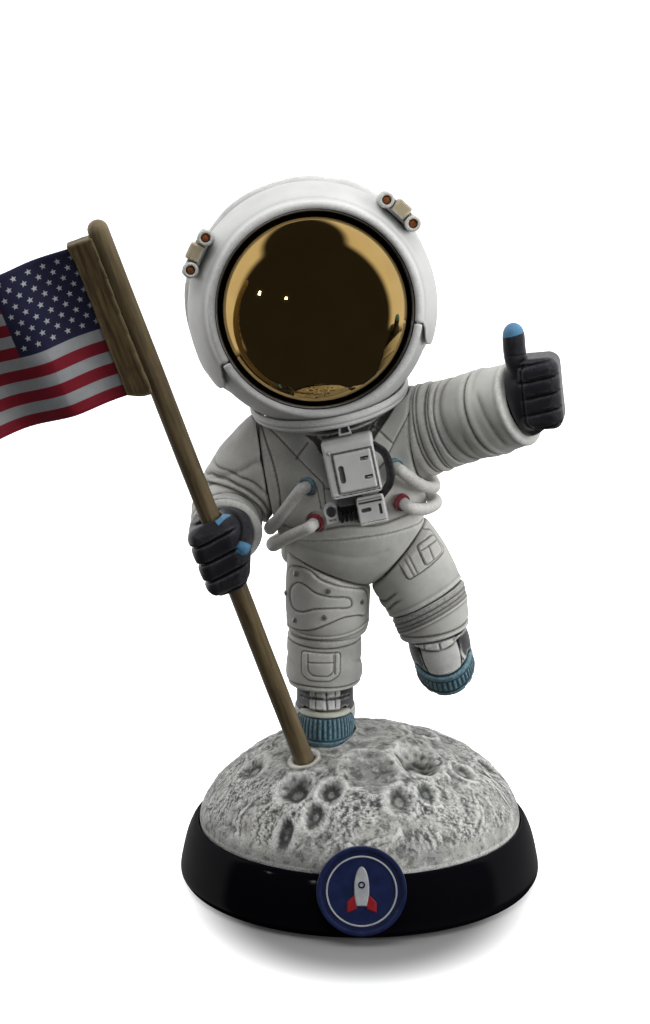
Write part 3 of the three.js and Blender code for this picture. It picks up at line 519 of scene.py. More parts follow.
def rounded(corners, radius=0.3, spacing=0.8, closed=True):
    """A path through corners with each one rounded and the straight parts divided."""
    p = np.array(corners, float)
    out = []
    count = len(p)
    for i in range(count):
        here = p[i]
        if not closed and i in (0, count - 1):
            out.append(here)
            continue
        before, after = p[i - 1] - here, p[(i + 1) % count] - here
        r = min(radius, np.linalg.norm(before) * 0.45, np.linalg.norm(after) * 0.45)
        a, b = here + unit(before) * r, here + unit(after) * r
        for t in (0, 0.25, 0.5, 0.75, 1):
            out.append((1 - t) ** 2 * a + 2 * t * (1 - t) * here + t * t * b)
    dense = []
    pairs = zip(out, out[1:] + out[:1]) if closed else zip(out[:-1], out[1:])
    for a, b in pairs:
        parts = max(1, int(math.ceil(np.linalg.norm(b - a) / spacing)))
        dense += [a + (b - a) * t / parts for t in range(parts)]
    if not closed:
        dense.append(out[-1])
    return np.array(dense)


def spun(name, body, slot, material, place, profile, segments=96, closed=True, nodes=(), shape=None,
         **tuning):
    """A piece turned about a frame's z axis from a path of (radius, height)."""
    angles = np.arange(segments) * 2 * math.pi / segments
    profile = np.asarray(profile, float)
    poles = [] if closed else [0, len(profile) - 1]
    rings = [i for i in range(len(profile)) if i not in poles]
    cos, sin = np.cos(angles), np.sin(angles)
    points = [np.stack([r * cos, r * sin, np.full(segments, z)], 1) for r, z in profile[rings]]
    points = np.concatenate(points)
    around = np.arange(segments)
    turn = np.roll(around, -1)
    quads = []
    ring_pairs = list(zip(range(len(rings) - 1), range(1, len(rings))))
    if closed:
        ring_pairs.append((len(rings) - 1, 0))
    for a, b in ring_pairs:
        a, b = a * segments, b * segments
        quads.append(np.stack([a + around, a + turn, b + turn, b + around], 1))
    groups = [np.concatenate(quads)]
    if poles:
        first, last = len(points), len(points) + 1
        points = np.concatenate([points, [[0, 0, profile[0][1]], [0, 0, profile[-1][1]]]])
        end = (len(rings) - 1) * segments
        groups.append(np.stack([np.full(segments, first), turn, around], 1))
        groups.append(np.stack([np.full(segments, last), end + around, end + turn], 1))
    tint = np.zeros(len(points))
    if shape:
        points, tint = shape(points)
    wash, worn = hollows(points, groups, **tuning)
    points = place.world(points)
    return build(name, body, slot, material, points, groups, nodes, wash=wash, worn=worn, tint=tint)


def swept(name, body, slot, material, route, radius, sides=24, parts=8, nodes=()):
    """A round bar with domed ends along a smooth line; radius may change with the share of its length."""
    line = curved(route, parts=parts)
    tangent = np.gradient(line, axis=0)
    tangent /= length(tangent)[:, None]
    side = unit(np.cross(tangent[0], (0.3, 0.2, 1)))
    share = np.linspace(0, 1, len(line))
    size = radius(share) if callable(radius) else np.full(len(line), radius)
    rings, angles = [], np.arange(sides) * 2 * math.pi / sides

    def ring(centre, t, s, r):
        up = np.cross(t, s)
        return centre + r * (np.cos(angles)[:, None] * s + np.sin(angles)[:, None] * up)

    cap = np.radians([12, 35, 60, 80])
    first_reach, last_reach = (tangent[i] * size[i] * 0.6 for i in (0, -1))
    for a in cap:
        rings.append(ring(line[0] - first_reach * math.cos(a), tangent[0], side, size[0] * math.sin(a)))
    for centre, t, r in zip(line, tangent, size):
        side = unit(side - (side @ t) * t)
        rings.append(ring(centre, t, side, r))
    for a in cap[::-1]:
        rings.append(ring(line[-1] + last_reach * math.cos(a), tangent[-1], side, size[-1] * math.sin(a)))
    points = np.concatenate(rings)
    around = np.arange(sides)
    turn = np.roll(around, -1)
    quads = [
        np.stack([i * sides + around, i * sides + turn, (i + 1) * sides + turn, (i + 1) * sides + around], 1)
        for i in range(len(rings) - 1)
    ]
    first, end = len(points), (len(rings) - 1) * sides
    tips = [line[0] - first_reach, line[-1] + last_reach]
    points = np.concatenate([points, tips])
    groups = [
        np.concatenate(quads),
        np.stack([np.full(sides, first), turn, around], 1),
        np.stack([np.full(sides, first + 1), end + around, end + turn], 1),
    ]
    wash, worn = hollows(points, groups)
    return build(name, body, slot, material, points, groups, nodes, wash=wash, worn=worn, tint=0 * wash)


# ------------------------------------------------------------------ materials
class Nodes:
    """A material's node tree with short calls for what the finishes use."""

    def __init__(self, name):
        self.material = bpy.data.materials.new(name)
        self.material.use_nodes = True
        self.tree = self.material.node_tree
        self.shader = self.tree.nodes["Principled BSDF"]
        self.coords = self.add("ShaderNodeTexCoord").outputs["Object"]

    def add(self, kind, **settings):
        made = self.tree.nodes.new(kind)
        for key, value in settings.items():
            setattr(made, key, value)
        return made

    def link(self, source, target):
        self.tree.links.new(source, target)

    def feed(self, socket, value):
        if isinstance(value, bpy.types.NodeSocket):
            self.link(value, socket)
        else:
            socket.default_value = value

    def layer(self, name):
        return self.add("ShaderNodeAttribute", attribute_name=name).outputs["Fac"]

    def maths(self, operation, a, b=0.0, clamp=False):
        made = self.add("ShaderNodeMath", operation=operation, use_clamp=clamp)
        self.feed(made.inputs[0], a)
        self.feed(made.inputs[1], b)
        return made.outputs[0]

    def noise(self, scale, detail=3.0, roughness=0.55, stretch=(1, 1, 1), distortion=0.0):
        """Noise from 0 to 1 whose main features are about 1/scale millimetres across."""
        mapping = self.add("ShaderNodeMapping")
        mapping.inputs["Scale"].default_value = [s / MM * scale for s in stretch]
        self.link(self.coords, mapping.inputs["Vector"])
        made = self.add("ShaderNodeTexNoise")
        made.inputs["Scale"].default_value = 1.0
        made.inputs["Detail"].default_value = detail
        made.inputs["Roughness"].default_value = roughness
        made.inputs["Distortion"].default_value = distortion
        self.link(mapping.outputs[0], made.inputs["Vector"])
        return made.outputs["Fac"]

    def steps(self, value, low, high):
        made = self.add("ShaderNodeMapRange", interpolation_type="SMOOTHSTEP")
        self.feed(made.inputs["Value"], value)
        made.inputs["From Min"].default_value = low
        made.inputs["From Max"].default_value = high
        return made.outputs["Result"]

    def scaled(self, value, low, high):
        made = self.add("ShaderNodeMapRange")
        self.feed(made.inputs["Value"], value)
        made.inputs["To Min"].default_value = low
        made.inputs["To Max"].default_value = high
        return made.outputs["Result"]

    def mix(self, share, a, b, kind="MIX"):
        made = self.add("ShaderNodeMix", data_type="RGBA", blend_type=kind)
        self.feed(made.inputs["Factor"], share)
        for socket, value in ((made.inputs[6], a), (made.inputs[7], b)):
            self.feed(socket, value if isinstance(value, bpy.types.NodeSocket) else (*value, 1.0))
        return made.outputs[2]

    def bump(self, height, depth, previous=None):
        """Bumps that are depth millimetres high."""
        made = self.add("ShaderNodeBump")
        made.inputs["Strength"].default_value = 1.0
        made.inputs["Distance"].default_value = depth * MM
        self.feed(made.inputs["Height"], height)
        if previous is not None:
            self.link(previous, made.inputs["Normal"])
        return made.outputs["Normal"]

    def done(self, colour, roughness, normal=None, **sockets):
        self.feed(self.shader.inputs["Base Color"], colour)
        self.feed(self.shader.inputs["Roughness"], roughness)
        if normal is not None:
            self.link(normal, self.shader.inputs["Normal"])
        for key, value in sockets.items():
            self.shader.inputs[key.replace("_", " ")].default_value = value
        return self.material


def painted(name, base, wash_and_shade_colour, edge, accent=None, rough_range=(0.45, 0.65), grain=0.03, mottle=0.25,
            weave=0.0, wear_and_highlight=0.5, **sockets):
    """Matt paint with a darker wash and painted shade in its hollows, edges lightened by wear with a painted
    highlight, and a slight unevenness.
    """
    n = Nodes(name)
    broad = n.noise(0.09, 4.0, 0.6)
    fine = n.noise(1.6, 3.0, 0.6)
    colour = base
    if accent:
        colour = n.mix(n.steps(n.layer("tint"), 0.3, 0.7), base, accent)
    darker = n.mix(1.0, colour, (1 - mottle, 1 - mottle, 1 - mottle * 0.9), "MULTIPLY")
    colour = n.mix(n.steps(broad, 0.35, 0.72), colour, darker)
    uneven = n.scaled(fine, 0.55, 1.15)
    # Hollows are painted darker, a paint wash with painted shade, and edges lighter, wear with a painted
    # highlight.
    colour = n.mix(n.maths("MULTIPLY", n.layer("wash"), uneven, True), colour, wash_and_shade_colour)
    rubbed_and_highlit = n.maths("MULTIPLY", n.maths("MULTIPLY", n.layer("worn"), n.steps(fine, 0.3, 0.6)), wear_and_highlight, True)
    colour = n.mix(rubbed_and_highlit, colour, edge)
    roughness = n.scaled(n.noise(0.5, 2.0), *rough_range)
    height = n.bump(n.noise(3.2, 3.0, 0.6), grain)
    if weave:
        threads = n.add("ShaderNodeTexVoronoi", feature="F1")
        mapping = n.add("ShaderNodeMapping")
        mapping.inputs["Scale"].default_value = [2.4 / MM] * 3
        n.link(n.coords, mapping.inputs["Vector"])
        n.link(mapping.outputs[0], threads.inputs["Vector"])
        threads.inputs["Scale"].default_value = 1.0
        height = n.bump(threads.outputs["Distance"], weave, height)
    return n.done(colour, roughness, height, **sockets)


SUIT_BASE = (0.53, 0.53, 0.495)
# The suit's second colour darkens its hollows, a paint wash with painted shade; the third lightens its
# edges, wear with a painted highlight.
SUIT_WASH_AND_SHADE = (0.090, 0.082, 0.058)
SUIT_WEAR_AND_HIGHLIGHT = (0.72, 0.72, 0.69)

suit_paint = painted("suit_paint", SUIT_BASE, SUIT_WASH_AND_SHADE, SUIT_WEAR_AND_HIGHLIGHT, (0.05, 0.05, 0.053), weave=0.012)
band_paint = painted("band_paint", SUIT_BASE, SUIT_WASH_AND_SHADE, SUIT_WEAR_AND_HIGHLIGHT, (0.26, 0.265, 0.255), weave=0.012)
helmet_paint = painted(
    "helmet_paint", (0.60, 0.605, 0.59), (0.11, 0.105, 0.09), (0.78, 0.78, 0.76), rough_range=(0.32, 0.5),
    mottle=0.12, grain=0.015,
)
trim_paint = painted(
    "trim_paint", (0.55, 0.555, 0.54), (0.07, 0.07, 0.07), (0.80, 0.80, 0.78), (0.05, 0.05, 0.055),
    rough_range=(0.32, 0.5), mottle=0.15, grain=0.015,
)
dark_paint = painted("dark_paint", (0.10, 0.10, 0.105), (0.015, 0.015, 0.015), (0.35, 0.35, 0.36),
                     mottle=0.3)
glove_paint = painted(
    "glove_paint", (0.019, 0.018, 0.023), (0.004, 0.004, 0.004), (0.10, 0.098, 0.108), (0.09, 0.26, 0.44),
    rough_range=(0.26, 0.42), grain=0.012, mottle=0.3,
)
boot_paint = painted(
    "boot_paint", (0.46, 0.46, 0.44), (0.006, 0.006, 0.006), (0.80, 0.80, 0.78), (0.014, 0.014, 0.017),
    rough_range=(0.35, 0.55), mottle=0.3,
)
sole_paint = painted(
    "sole_paint", (0.055, 0.125, 0.16), (0.008, 0.015, 0.02), (0.22, 0.36, 0.42), (0.62, 0.58, 0.44),
    rough_range=(0.35, 0.5), mottle=0.3, wear_and_highlight=0.7,
)
cable_paint = painted("cable_paint", (0.008, 0.008, 0.009), (0.002, 0.002, 0.002), (0.05, 0.05, 0.055),
                      rough_range=(0.3, 0.45))
hose_paint = painted("hose_paint", (0.50, 0.49, 0.46), SUIT_WASH_AND_SHADE, (0.70, 0.69, 0.66),
                     rough_range=(0.35, 0.5), mottle=0.15, grain=0.01)
blue_paint = painted("blue_paint", (0.055, 0.13, 0.17), (0.01, 0.02, 0.03), (0.25, 0.40, 0.47),
                     rough_range=(0.3, 0.45), wear_and_highlight=0.8)
red_paint = painted("red_paint", (0.12, 0.009, 0.015), (0.02, 0.004, 0.004), (0.42, 0.06, 0.08),
                    rough_range=(0.3, 0.45), wear_and_highlight=0.8)
steel_paint = painted("steel_paint", (0.36, 0.36, 0.36), (0.05, 0.05, 0.05), (0.7, 0.7, 0.7),
                      rough_range=(0.25, 0.4), grain=0.01, Metallic=0.8)
lamp_paint = painted("lamp_paint", (0.50, 0.50, 0.47), (0.10, 0.08, 0.05), (0.80, 0.78, 0.72),
                     (0.44, 0.37, 0.24), rough_range=(0.3, 0.45), mottle=0.2)


def gold_mirror():
    n = Nodes("gold_mirror")
    haze = n.noise(0.06, 3.0, 0.6)
    smear = n.noise(0.5, 4.0, 0.65, (1, 1, 0.3))
    colour = n.mix(n.steps(haze, 0.35, 0.7), (0.60, 0.40, 0.13), (0.52, 0.33, 0.10))
    roughness = n.scaled(n.maths("MULTIPLY", smear, haze), 0.015, 0.10)
    return n.done(colour, roughness, n.bump(n.noise(0.12, 1.0), 0.02), Metallic=1.0, Coat_Weight=0.35,
                  Coat_Roughness=0.03)


def gloss_black():
    n = Nodes("gloss_black")
    dust = n.noise(2.5, 5.0, 0.7)
    colour = n.mix(n.steps(dust, 0.62, 0.78), (0.0028, 0.0028, 0.004), (0.014, 0.014, 0.015))
    roughness = n.scaled(n.noise(0.12, 4.0, 0.6), 0.18, 0.36)
    # The sharpest edges of the black plinth are painted lighter, wear with a painted highlight.
    rubbed_and_highlit = n.maths("MULTIPLY", n.steps(n.layer("worn"), 0.6, 1.0), 0.15, True)
    colour = n.mix(rubbed_and_highlit, colour, (0.10, 0.10, 0.11))
    return n.done(colour, roughness, n.bump(n.noise(0.6, 3.0), 0.02), Specular_IOR_Level=0.0,
                  Coat_Weight=0.12, Coat_Roughness=0.1)


def moon_stone():
    n = Nodes("moon_stone")
    patches = n.noise(0.07, 5.0, 0.65)
    mottle = n.noise(0.30, 6.0, 0.72)
    specks = n.noise(1.3, 6.0, 0.7)
    grit = n.noise(4.0, 4.0, 0.7)
    stone = n.mix(n.steps(patches, 0.35, 0.7), (0.33, 0.335, 0.32), (0.48, 0.475, 0.44))
    stone = n.mix(n.maths("MULTIPLY", n.steps(mottle, 0.50, 0.61), 0.8), stone, (0.10, 0.105, 0.10))
    stone = n.mix(n.maths("MULTIPLY", n.steps(mottle, 0.46, 0.36), 0.7), stone, (0.72, 0.72, 0.70))
    stone = n.mix(n.maths("MULTIPLY", n.steps(specks, 0.52, 0.72), 0.7), stone, (0.07, 0.075, 0.075))
    stone = n.mix(n.layer("tint"), stone, (0.42, 0.38, 0.29))
    # Hollows and crater bowls are painted near black, a paint wash with painted shade.
    inked_and_shaded = n.maths("MULTIPLY", n.layer("wash"), n.scaled(specks, 0.5, 1.3), True)
    stone = n.mix(inked_and_shaded, stone, (0.045, 0.047, 0.048))
    # Crests and edges are painted pale, dry-brushing with a painted highlight.
    brushed = n.maths("MULTIPLY", n.layer("worn"), n.steps(grit, 0.35, 0.6), True)
    stone = n.mix(brushed, stone, (0.80, 0.80, 0.78))
    height = n.bump(grit, 0.12, n.bump(specks, 0.26, n.bump(mottle, 0.25)))
    return n.done(stone, n.scaled(grit, 0.7, 0.95), height, Specular_IOR_Level=0.3)


def pole_paint():
    """Bronze-brown paint brushed along the pole, so that it looks like wood."""
    n = Nodes("pole_paint")
    grain = n.add("ShaderNodeTexNoise")
    turned = n.add("ShaderNodeVectorRotate", rotation_type="AXIS_ANGLE")
    up = unit(POLE_TIP - POLE_FOOT)
    turned.inputs["Axis"].default_value = tuple(unit(np.cross(up, (0, 0, 1))))
    turned.inputs["Angle"].default_value = math.acos(up[2])
    n.link(n.coords, turned.inputs["Vector"])
    mapping = n.add("ShaderNodeMapping")
    mapping.inputs["Scale"].default_value = (1.1 / MM, 1.1 / MM, 0.07 / MM)
    n.link(turned.outputs[0], mapping.inputs["Vector"])
    n.link(mapping.outputs[0], grain.inputs["Vector"])
    grain.inputs["Scale"].default_value = 1.0
    grain.inputs["Detail"].default_value = 5.0
    grain.inputs["Roughness"].default_value = 0.65
    streaks = grain.outputs["Fac"]
    colour = n.mix(n.steps(streaks, 0.32, 0.68), (0.045, 0.031, 0.016), (0.16, 0.115, 0.055))
    colour = n.mix(n.steps(n.noise(0.15, 4.0), 0.5, 0.8), colour, (0.075, 0.048, 0.028))
    # Hollows are painted near black, a paint wash with painted shade, and edges lighter, wear with a painted
    # highlight.
    colour = n.mix(n.layer("wash"), colour, (0.02, 0.014, 0.008))
    colour = n.mix(n.maths("MULTIPLY", n.layer("worn"), 0.5, True), colour, (0.30, 0.24, 0.14))
    height = n.bump(streaks, 0.12, n.bump(n.noise(2.0, 4.0), 0.04))
    return n.done(colour, n.scaled(streaks, 0.34, 0.55), height, Metallic=0.25)


STRIPES = 13
CANTON_STRIPES = 7
CANTON_WIDTH = 20.5


def flag_print():
    """Stripes and a blue canton from how far each point is along the fly and up the hoist."""
    n = Nodes("flag_print")
    fly, hoist = n.layer("fly"), n.layer("hoist")
    odd = n.maths("MODULO", n.maths("FLOOR", n.maths("MULTIPLY", hoist, float(STRIPES))), 2.0)
    blotch = n.noise(0.35, 4.0, 0.6)
    red = n.mix(blotch, (0.22, 0.010, 0.022), (0.15, 0.007, 0.016))
    white = n.mix(blotch, (0.34, 0.35, 0.36), (0.25, 0.26, 0.27))
    stripes = n.mix(n.maths("GREATER_THAN", odd, 0.5), red, white)
    in_canton = n.maths(
        "MULTIPLY",
        n.maths("LESS_THAN", fly, CANTON_WIDTH),
        n.maths("GREATER_THAN", hoist, 1 - CANTON_STRIPES / STRIPES),
    )
    blue = n.mix(blotch, (0.012, 0.013, 0.040), (0.018, 0.018, 0.045))
    colour = n.mix(in_canton, stripes, blue)
    # The flag's folds are painted darker, a painted shade.
    colour = n.mix(n.maths("MULTIPLY", n.layer("wash"), 0.7, True), colour, (0.02, 0.015, 0.02))
    threads = n.noise(2.5, 2.0, 0.5)
    return n.done(colour, n.scaled(blotch, 0.5, 0.7), n.bump(threads, 0.03))


def enamel(name, first, second):
    n = Nodes(name)
    colour = n.mix(n.steps(n.noise(0.5, 3.0), 0.3, 0.7), first, second)
    # The badge's hollows are painted darker, a painted shade.
    colour = n.mix(n.maths("MULTIPLY", n.layer("wash"), 0.5, True), colour, (0.01, 0.01, 0.02))
    roughness = n.scaled(n.noise(1.0, 3.0), 0.25, 0.42)
    return n.done(colour, roughness, n.bump(n.noise(1.2, 3.0), 0.015), Coat_Weight=0.3)


def amber_glass():
    n = Nodes("amber_glass")
    colour = n.mix(n.steps(n.noise(0.8, 2.0), 0.3, 0.7), (0.28, 0.085, 0.02), (0.16, 0.045, 0.012))
    roughness = n.scaled(n.noise(1.5, 2.0), 0.12, 0.3)
    return n.done(colour, roughness, n.bump(n.noise(1.5), 0.02), Coat_Weight=0.6)


def foam_rubber():
    n = Nodes("foam_rubber")
    cells = n.noise(2.2, 4.0, 0.7)
    colour = n.mix(cells, (0.010, 0.010, 0.010), (0.04, 0.04, 0.04))
    return n.done(colour, n.scaled(cells, 0.8, 0.98), n.bump(cells, 0.12))


gold = gold_mirror()
black = gloss_black()
stone = moon_stone()
wood = pole_paint()
print_cloth = flag_print()
badge_blue = enamel("badge_blue", (0.008, 0.013, 0.050), (0.012, 0.020, 0.075))
badge_white = enamel("badge_white", (0.42, 0.43, 0.44), (0.34, 0.35, 0.37))
badge_red = enamel("badge_red", (0.30, 0.015, 0.02), (0.22, 0.012, 0.016))
amber = amber_glass()
foam = foam_rubber()


# ------------------------------------------------------------------ base
def rock_height(r):
    share = np.clip(r / ROCK_R, 0, 1)
    return ROCK_FOOT + ROCK_RISE * (1 - share**ROCK_SQUARENESS) ** (1 / ROCK_SQUARENESS)


# Craters as (x, y, radius, depth, rim height).
CRATERS = [
    (13.4, -12.8, 6.4, 3.3, 0.3),
    (-15.3, -22.6, 4.6, 1.8, 0.2),
    (-7.0, -25.4, 3.4, 1.1, 0.2),
    (2.0, -19.6, 6.4, 0.8, 0.4),
    (0.2, -19.5, 1.8, 0.6, 0.0),
    (3.6, -18.0, 1.5, 0.5, 0.0),
    (5.0, -21.6, 1.7, 0.5, 0.0),
    (-10.6, -30.2, 2.9, 0.8, 0.15),
    (-17.5, -31.2, 2.6, 0.8, 0.1),
    (14.6, 5.0, 4.2, 1.5, 0.3),
    (9.0, -27.2, 3.6, 0.7, 0.2),
    (15.4, -23.4, 2.8, 0.7, 0.1),
    (24.5, -10.5, 3.2, 0.8, 0.2),
    (-25.5, -8.5, 3.8, 1.0, 0.2),
    (-21.0, 9.5, 5.2, 1.8, 0.3),
    (-6.0, 22.0, 4.8, 1.6, 0.3),
    (9.0, 20.5, 3.0, 1.1, 0.2),
    (22.0, 16.0, 4.0, 1.4, 0.3),
    (-27.5, 17.5, 2.8, 1.0, 0.2),
    (2.0, 31.5, 3.2, 1.0, 0.2),
    (31.0, 2.5, 2.6, 0.9, 0.2),
    (-14.5, 29.0, 2.4, 0.9, 0.2),
]


def rock_skin():
    """The domed rock: a polar grid lifted into ridges, craters and grit, closed underneath."""
    around = 560
    outwards = 210
    bottom = 12.2
    share = np.sin(np.linspace(0, 1, outwards + 1)[1:] * math.pi / 2)
    radii = ROCK_R * share * 0.999
    angle = np.arange(around) * 2 * math.pi / around
    grid_r, grid_a = np.meshgrid(radii, angle, indexing="ij")
    x, y = (grid_r * np.cos(grid_a)).ravel(), (grid_r * np.sin(grid_a)).ravel()
    x, y = np.append(x, 0), np.append(y, 0)
    r = np.hypot(x, y)
    base = np.stack([x, y, rock_height(r)], 1)
    tilt = smooth(r, 10, ROCK_R) * 0.9
    normal = np.stack([x, y, 0 * x], 1) / np.maximum(r, 1e-6)[:, None] * tilt[:, None]
    normal[:, 2] = np.sqrt(1 - tilt**2)
    warp = np.stack([noise(base, 8, s) for s in (11, 12, 13)], 1) * 2.5
    lower = smooth(r, 17, 33)
    ridges = 1 - np.abs(rough((base + warp) * (1, 1, 1.6), 10.0, 3, 21))
    lift = (0.65 - 0.2 * lower) * (ridges - 0.65) + 0.7 * rough(base, 15, 2, 31)
    folds = np.abs(rough(base + warp, 6.0, 4, 41, 0.5))
    veined = 0.4 + 0.6 * smooth(noise(base, 9, 43), -0.3, 0.4)
    lift -= (0.12 + 0.10 * lower) * smooth(folds, 0.05, 0.45) * veined
    pits = rough(base + 0.4 * warp, 1.1, 3, 45, 0.6)
    lift += (0.03 + 0.12 * lower) * pits * (0.3 + 0.7 * smooth(noise(base, 7, 47), -0.4, 0.5))
    tint, dark = np.zeros((2, len(x)))
    for cx, cy, radius, depth, rim in CRATERS:
        seed = int(abs(cx * 7 + cy * 3))
        wobble = 1 + 0.12 * noise(base, 3.4, seed) + 0.05 * noise(base, 1.2, 77)
        d = np.hypot(x - cx, y - cy) / (radius * wobble)
        bowl = 1 - smooth(d, 0.3, 1.0)
        # Crater bowls are painted darker, a painted shade of random strength.
        dark = np.maximum(dark, (0.25 + 0.25 * noise(base, 3, 71)) * (1 - smooth(d, 0.5, 0.95)))
        lift = lift * (1 - 0.8 * bowl) - 1.25 * depth * bowl + rim * np.exp(-(((d - 1.1) / 0.2) ** 2))
    big_x, big_y, big_r = CRATERS[0][:3]
    inside_big = 1 - smooth(np.hypot(x - big_x, y - big_y), big_r * 0.7, big_r * 1.0)
    furrows = np.sin((y + 0.25 * x) * 4.0 + 1.5 * noise(base, 3, 61))
    lift += 0.05 * inside_big * furrows * smooth(y, big_y - 4, big_y)
    tint = np.maximum(tint, 0.45 * inside_big * smooth(big_y + 2 - y, 0, 4))
    foot_flat = BOOT_DOWN.local(base)
    foot = np.hypot(foot_flat[:, 0] / 6.9, (foot_flat[:, 1] + 1.6) / 10.8)
    lift *= 1 - 0.8 * (1 - smooth(foot, 1.02, 1.5))
    q = POLE.local(base)
    from_pole = np.hypot(q[:, 0], q[:, 1])
    lift *= 1 - 0.85 * (1 - smooth(from_pole, 3.2, 6.5))
    lift += 0.3 * np.exp(-(((from_pole - 3.5) / 0.6) ** 2))
    worn_ring = 1 - smooth(from_pole + 0.6 * noise(base, 1.5, 3), 2.9, 5.0)
    tint = np.maximum(tint, 0.9 * worn_ring * smooth(-q[:, 1], -2, 1))
    lift *= 1 - smooth(r, ROCK_R - 1.6, ROCK_R - 0.2)
    points = base + lift[:, None] * normal
    under = foot < 1.06
    points[under, 2] = np.minimum(points[under, 2], SOLE_Z - 0.15)
    hole = from_pole < POLE_R + 0.35
    depth = np.where(hole, 5.2 * smooth(POLE_R + 0.35 - from_pole, 0.0, 0.4), 0)
    points -= depth[:, None] * POLE.axes[2]
    tint[hole] = 0
    ring = np.arange(around)
    turn = np.roll(ring, -1)
    quads = []
    for i in range(outwards - 1):
        a, b = i * around, (i + 1) * around
        quads.append(np.stack([a + ring, b + ring, b + turn, a + turn], 1))
    centre = len(points) - 1
    tris = [np.stack([np.full(around, centre), ring, turn], 1)]
    lower_rings = []
    level = np.full(around, bottom)
    for radius in (ROCK_R * 0.999, ROCK_R - 3, 20, 8):
        lower_rings.append(np.stack([radius * np.cos(angle), radius * np.sin(angle), level], 1))
    start = len(points)
    points = np.concatenate([points, *lower_rings, [[0, 0, bottom]]])
    chain = [(outwards - 1) * around] + [start + i * around for i in range(len(lower_rings))]
    for a, b in zip(chain[:-1], chain[1:]):
        quads.append(np.stack([a + ring, b + ring, b + turn, a + turn], 1))
    tris.append(np.stack([np.full(around, len(points) - 1), chain[-1] + turn, chain[-1] + ring], 1))
    tint = np.concatenate([tint, np.zeros(len(points) - len(tint))])
    groups = [np.concatenate(quads), np.concatenate(tris)]
    wash, worn = hollows(points, groups, 0.035, 0.22, (3, 30))
    # The painted crater shade is added to the darkening of the hollows.
    wash[: len(dark)] = np.maximum(wash[: len(dark)], dark)
    build("rock_dome", "base", "rock", stone, points, groups, ["moon_rock"], wash=wash, worn=worn, tint=tint)


def make_base():
    bore = PLATE_R + GAP
    lip = ROCK_R + GAP
    outside = [(42.2, 0.8), (PLINTH_R, 2.6), (42.4, 6.5), (41.4, 10.6), (40.2, 13.5), (39.4, PLINTH_TOP)]
    inside = [(lip, PLINTH_TOP), (lip, 11.8), (35.4, 11.8), (bore, 7), (bore, 0.8)]
    profile = rounded([*curved(outside, parts=6), *inside], 0.5, 1.0)
    spun("plinth_ring", "base", "plinth", black, Frame((0, 0, 0)), profile, 256, nodes=["plinth"])
    rock_skin()
    half = 1.0
    edge = EMBLEM_R
    rim = [(edge, -half), (edge, half), (edge - 0.9, half), (edge - 1.1, half - 0.4)]
    disc = rounded([(0, -half), *rim, (0, half - 0.4)], 0.28, 0.7, False)
    spun("badge_disc", "base", "enamel", badge_blue, BADGE, disc, 128, False, ["emblem"])
    make_rocket()


def make_rocket():
    """A plain upright rocket in relief on the badge: hull, fins and a ring round them."""
    face = 0.55

    def hull(p):
        q = BADGE.local(p)
        width = 1.75 * np.sqrt(np.clip(1 - ((q[:, 1] - 0.4) / 5.2) ** 2, 0, 1)) - 0.02
        side = np.abs(q[:, 0]) - width
        tail = -3.4 - q[:, 1]
        return common(common(side * 0.8, tail, 0.2), np.abs(q[:, 2] - face) - 0.42, 0.35)

    def fins(p):
        q = BADGE.local(p)
        x = np.abs(q[:, 0])
        y = q[:, 1]
        sides = np.maximum(x - 3.4, 1.15 - x)
        ends = np.maximum(y + 0.6 + (x - 1.4) * 0.95, -4.9 - y + (3.4 - x) * 0.35)
        return common(np.maximum(sides, ends) * 0.7, np.abs(q[:, 2] - face) - 0.30, 0.25)

    def porthole(p):
        q = BADGE.local(p)
        flat = np.hypot(q[:, 0], q[:, 1] - 1.5)
        return common(np.abs(flat - 0.62) - 0.2, np.abs(q[:, 2] - face) - 0.55, 0.15)

    around = BADGE.world([[-5, -6, -0.6], [5, 6.5, 1.8]])
    low, high = around.min(0) - 2.5, around.max(0) + 2.5
    sculpt("badge_rocket", "base", "enamel", badge_white, hull, (low, high), 0.2)
    sculpt("badge_fins", "base", "enamel", badge_red, fins, (low, high), 0.2)
    sculpt("badge_porthole", "base", "enamel", badge_blue, porthole, (low, high), 0.12, levels=0)
    band = rounded([(7.7, face - 0.2), (8.1, face - 0.2), (8.1, face + 0.28), (7.7, face + 0.28)], 0.12, 0.3)
    spun("badge_band", "base", "enamel", badge_white, BADGE, band, 128)


# ------------------------------------------------------------------ boots
def parting(y, cap):
    """Height of the line between a boot's rubber and its upper, from y towards the toe."""
    heel = 2.9 + 0.3 * smooth(-y, -0.5, 3.2)
    return heel + smooth(-y, 1.6, 5.6) * (cap - 3.6) + smooth(-y, 5.4, 14) * 0.6


def boot_form(q, top):
    foot = egg(q, (0, -1.6, 2.6), (6.9, 10.8, 9.2))
    shaft = rod(q - vec(0, 1.6, 0), 7.0, 4.5, top, 1.0)
    return common(join(foot, shaft, 2.0), -q[:, 2], 0.8)


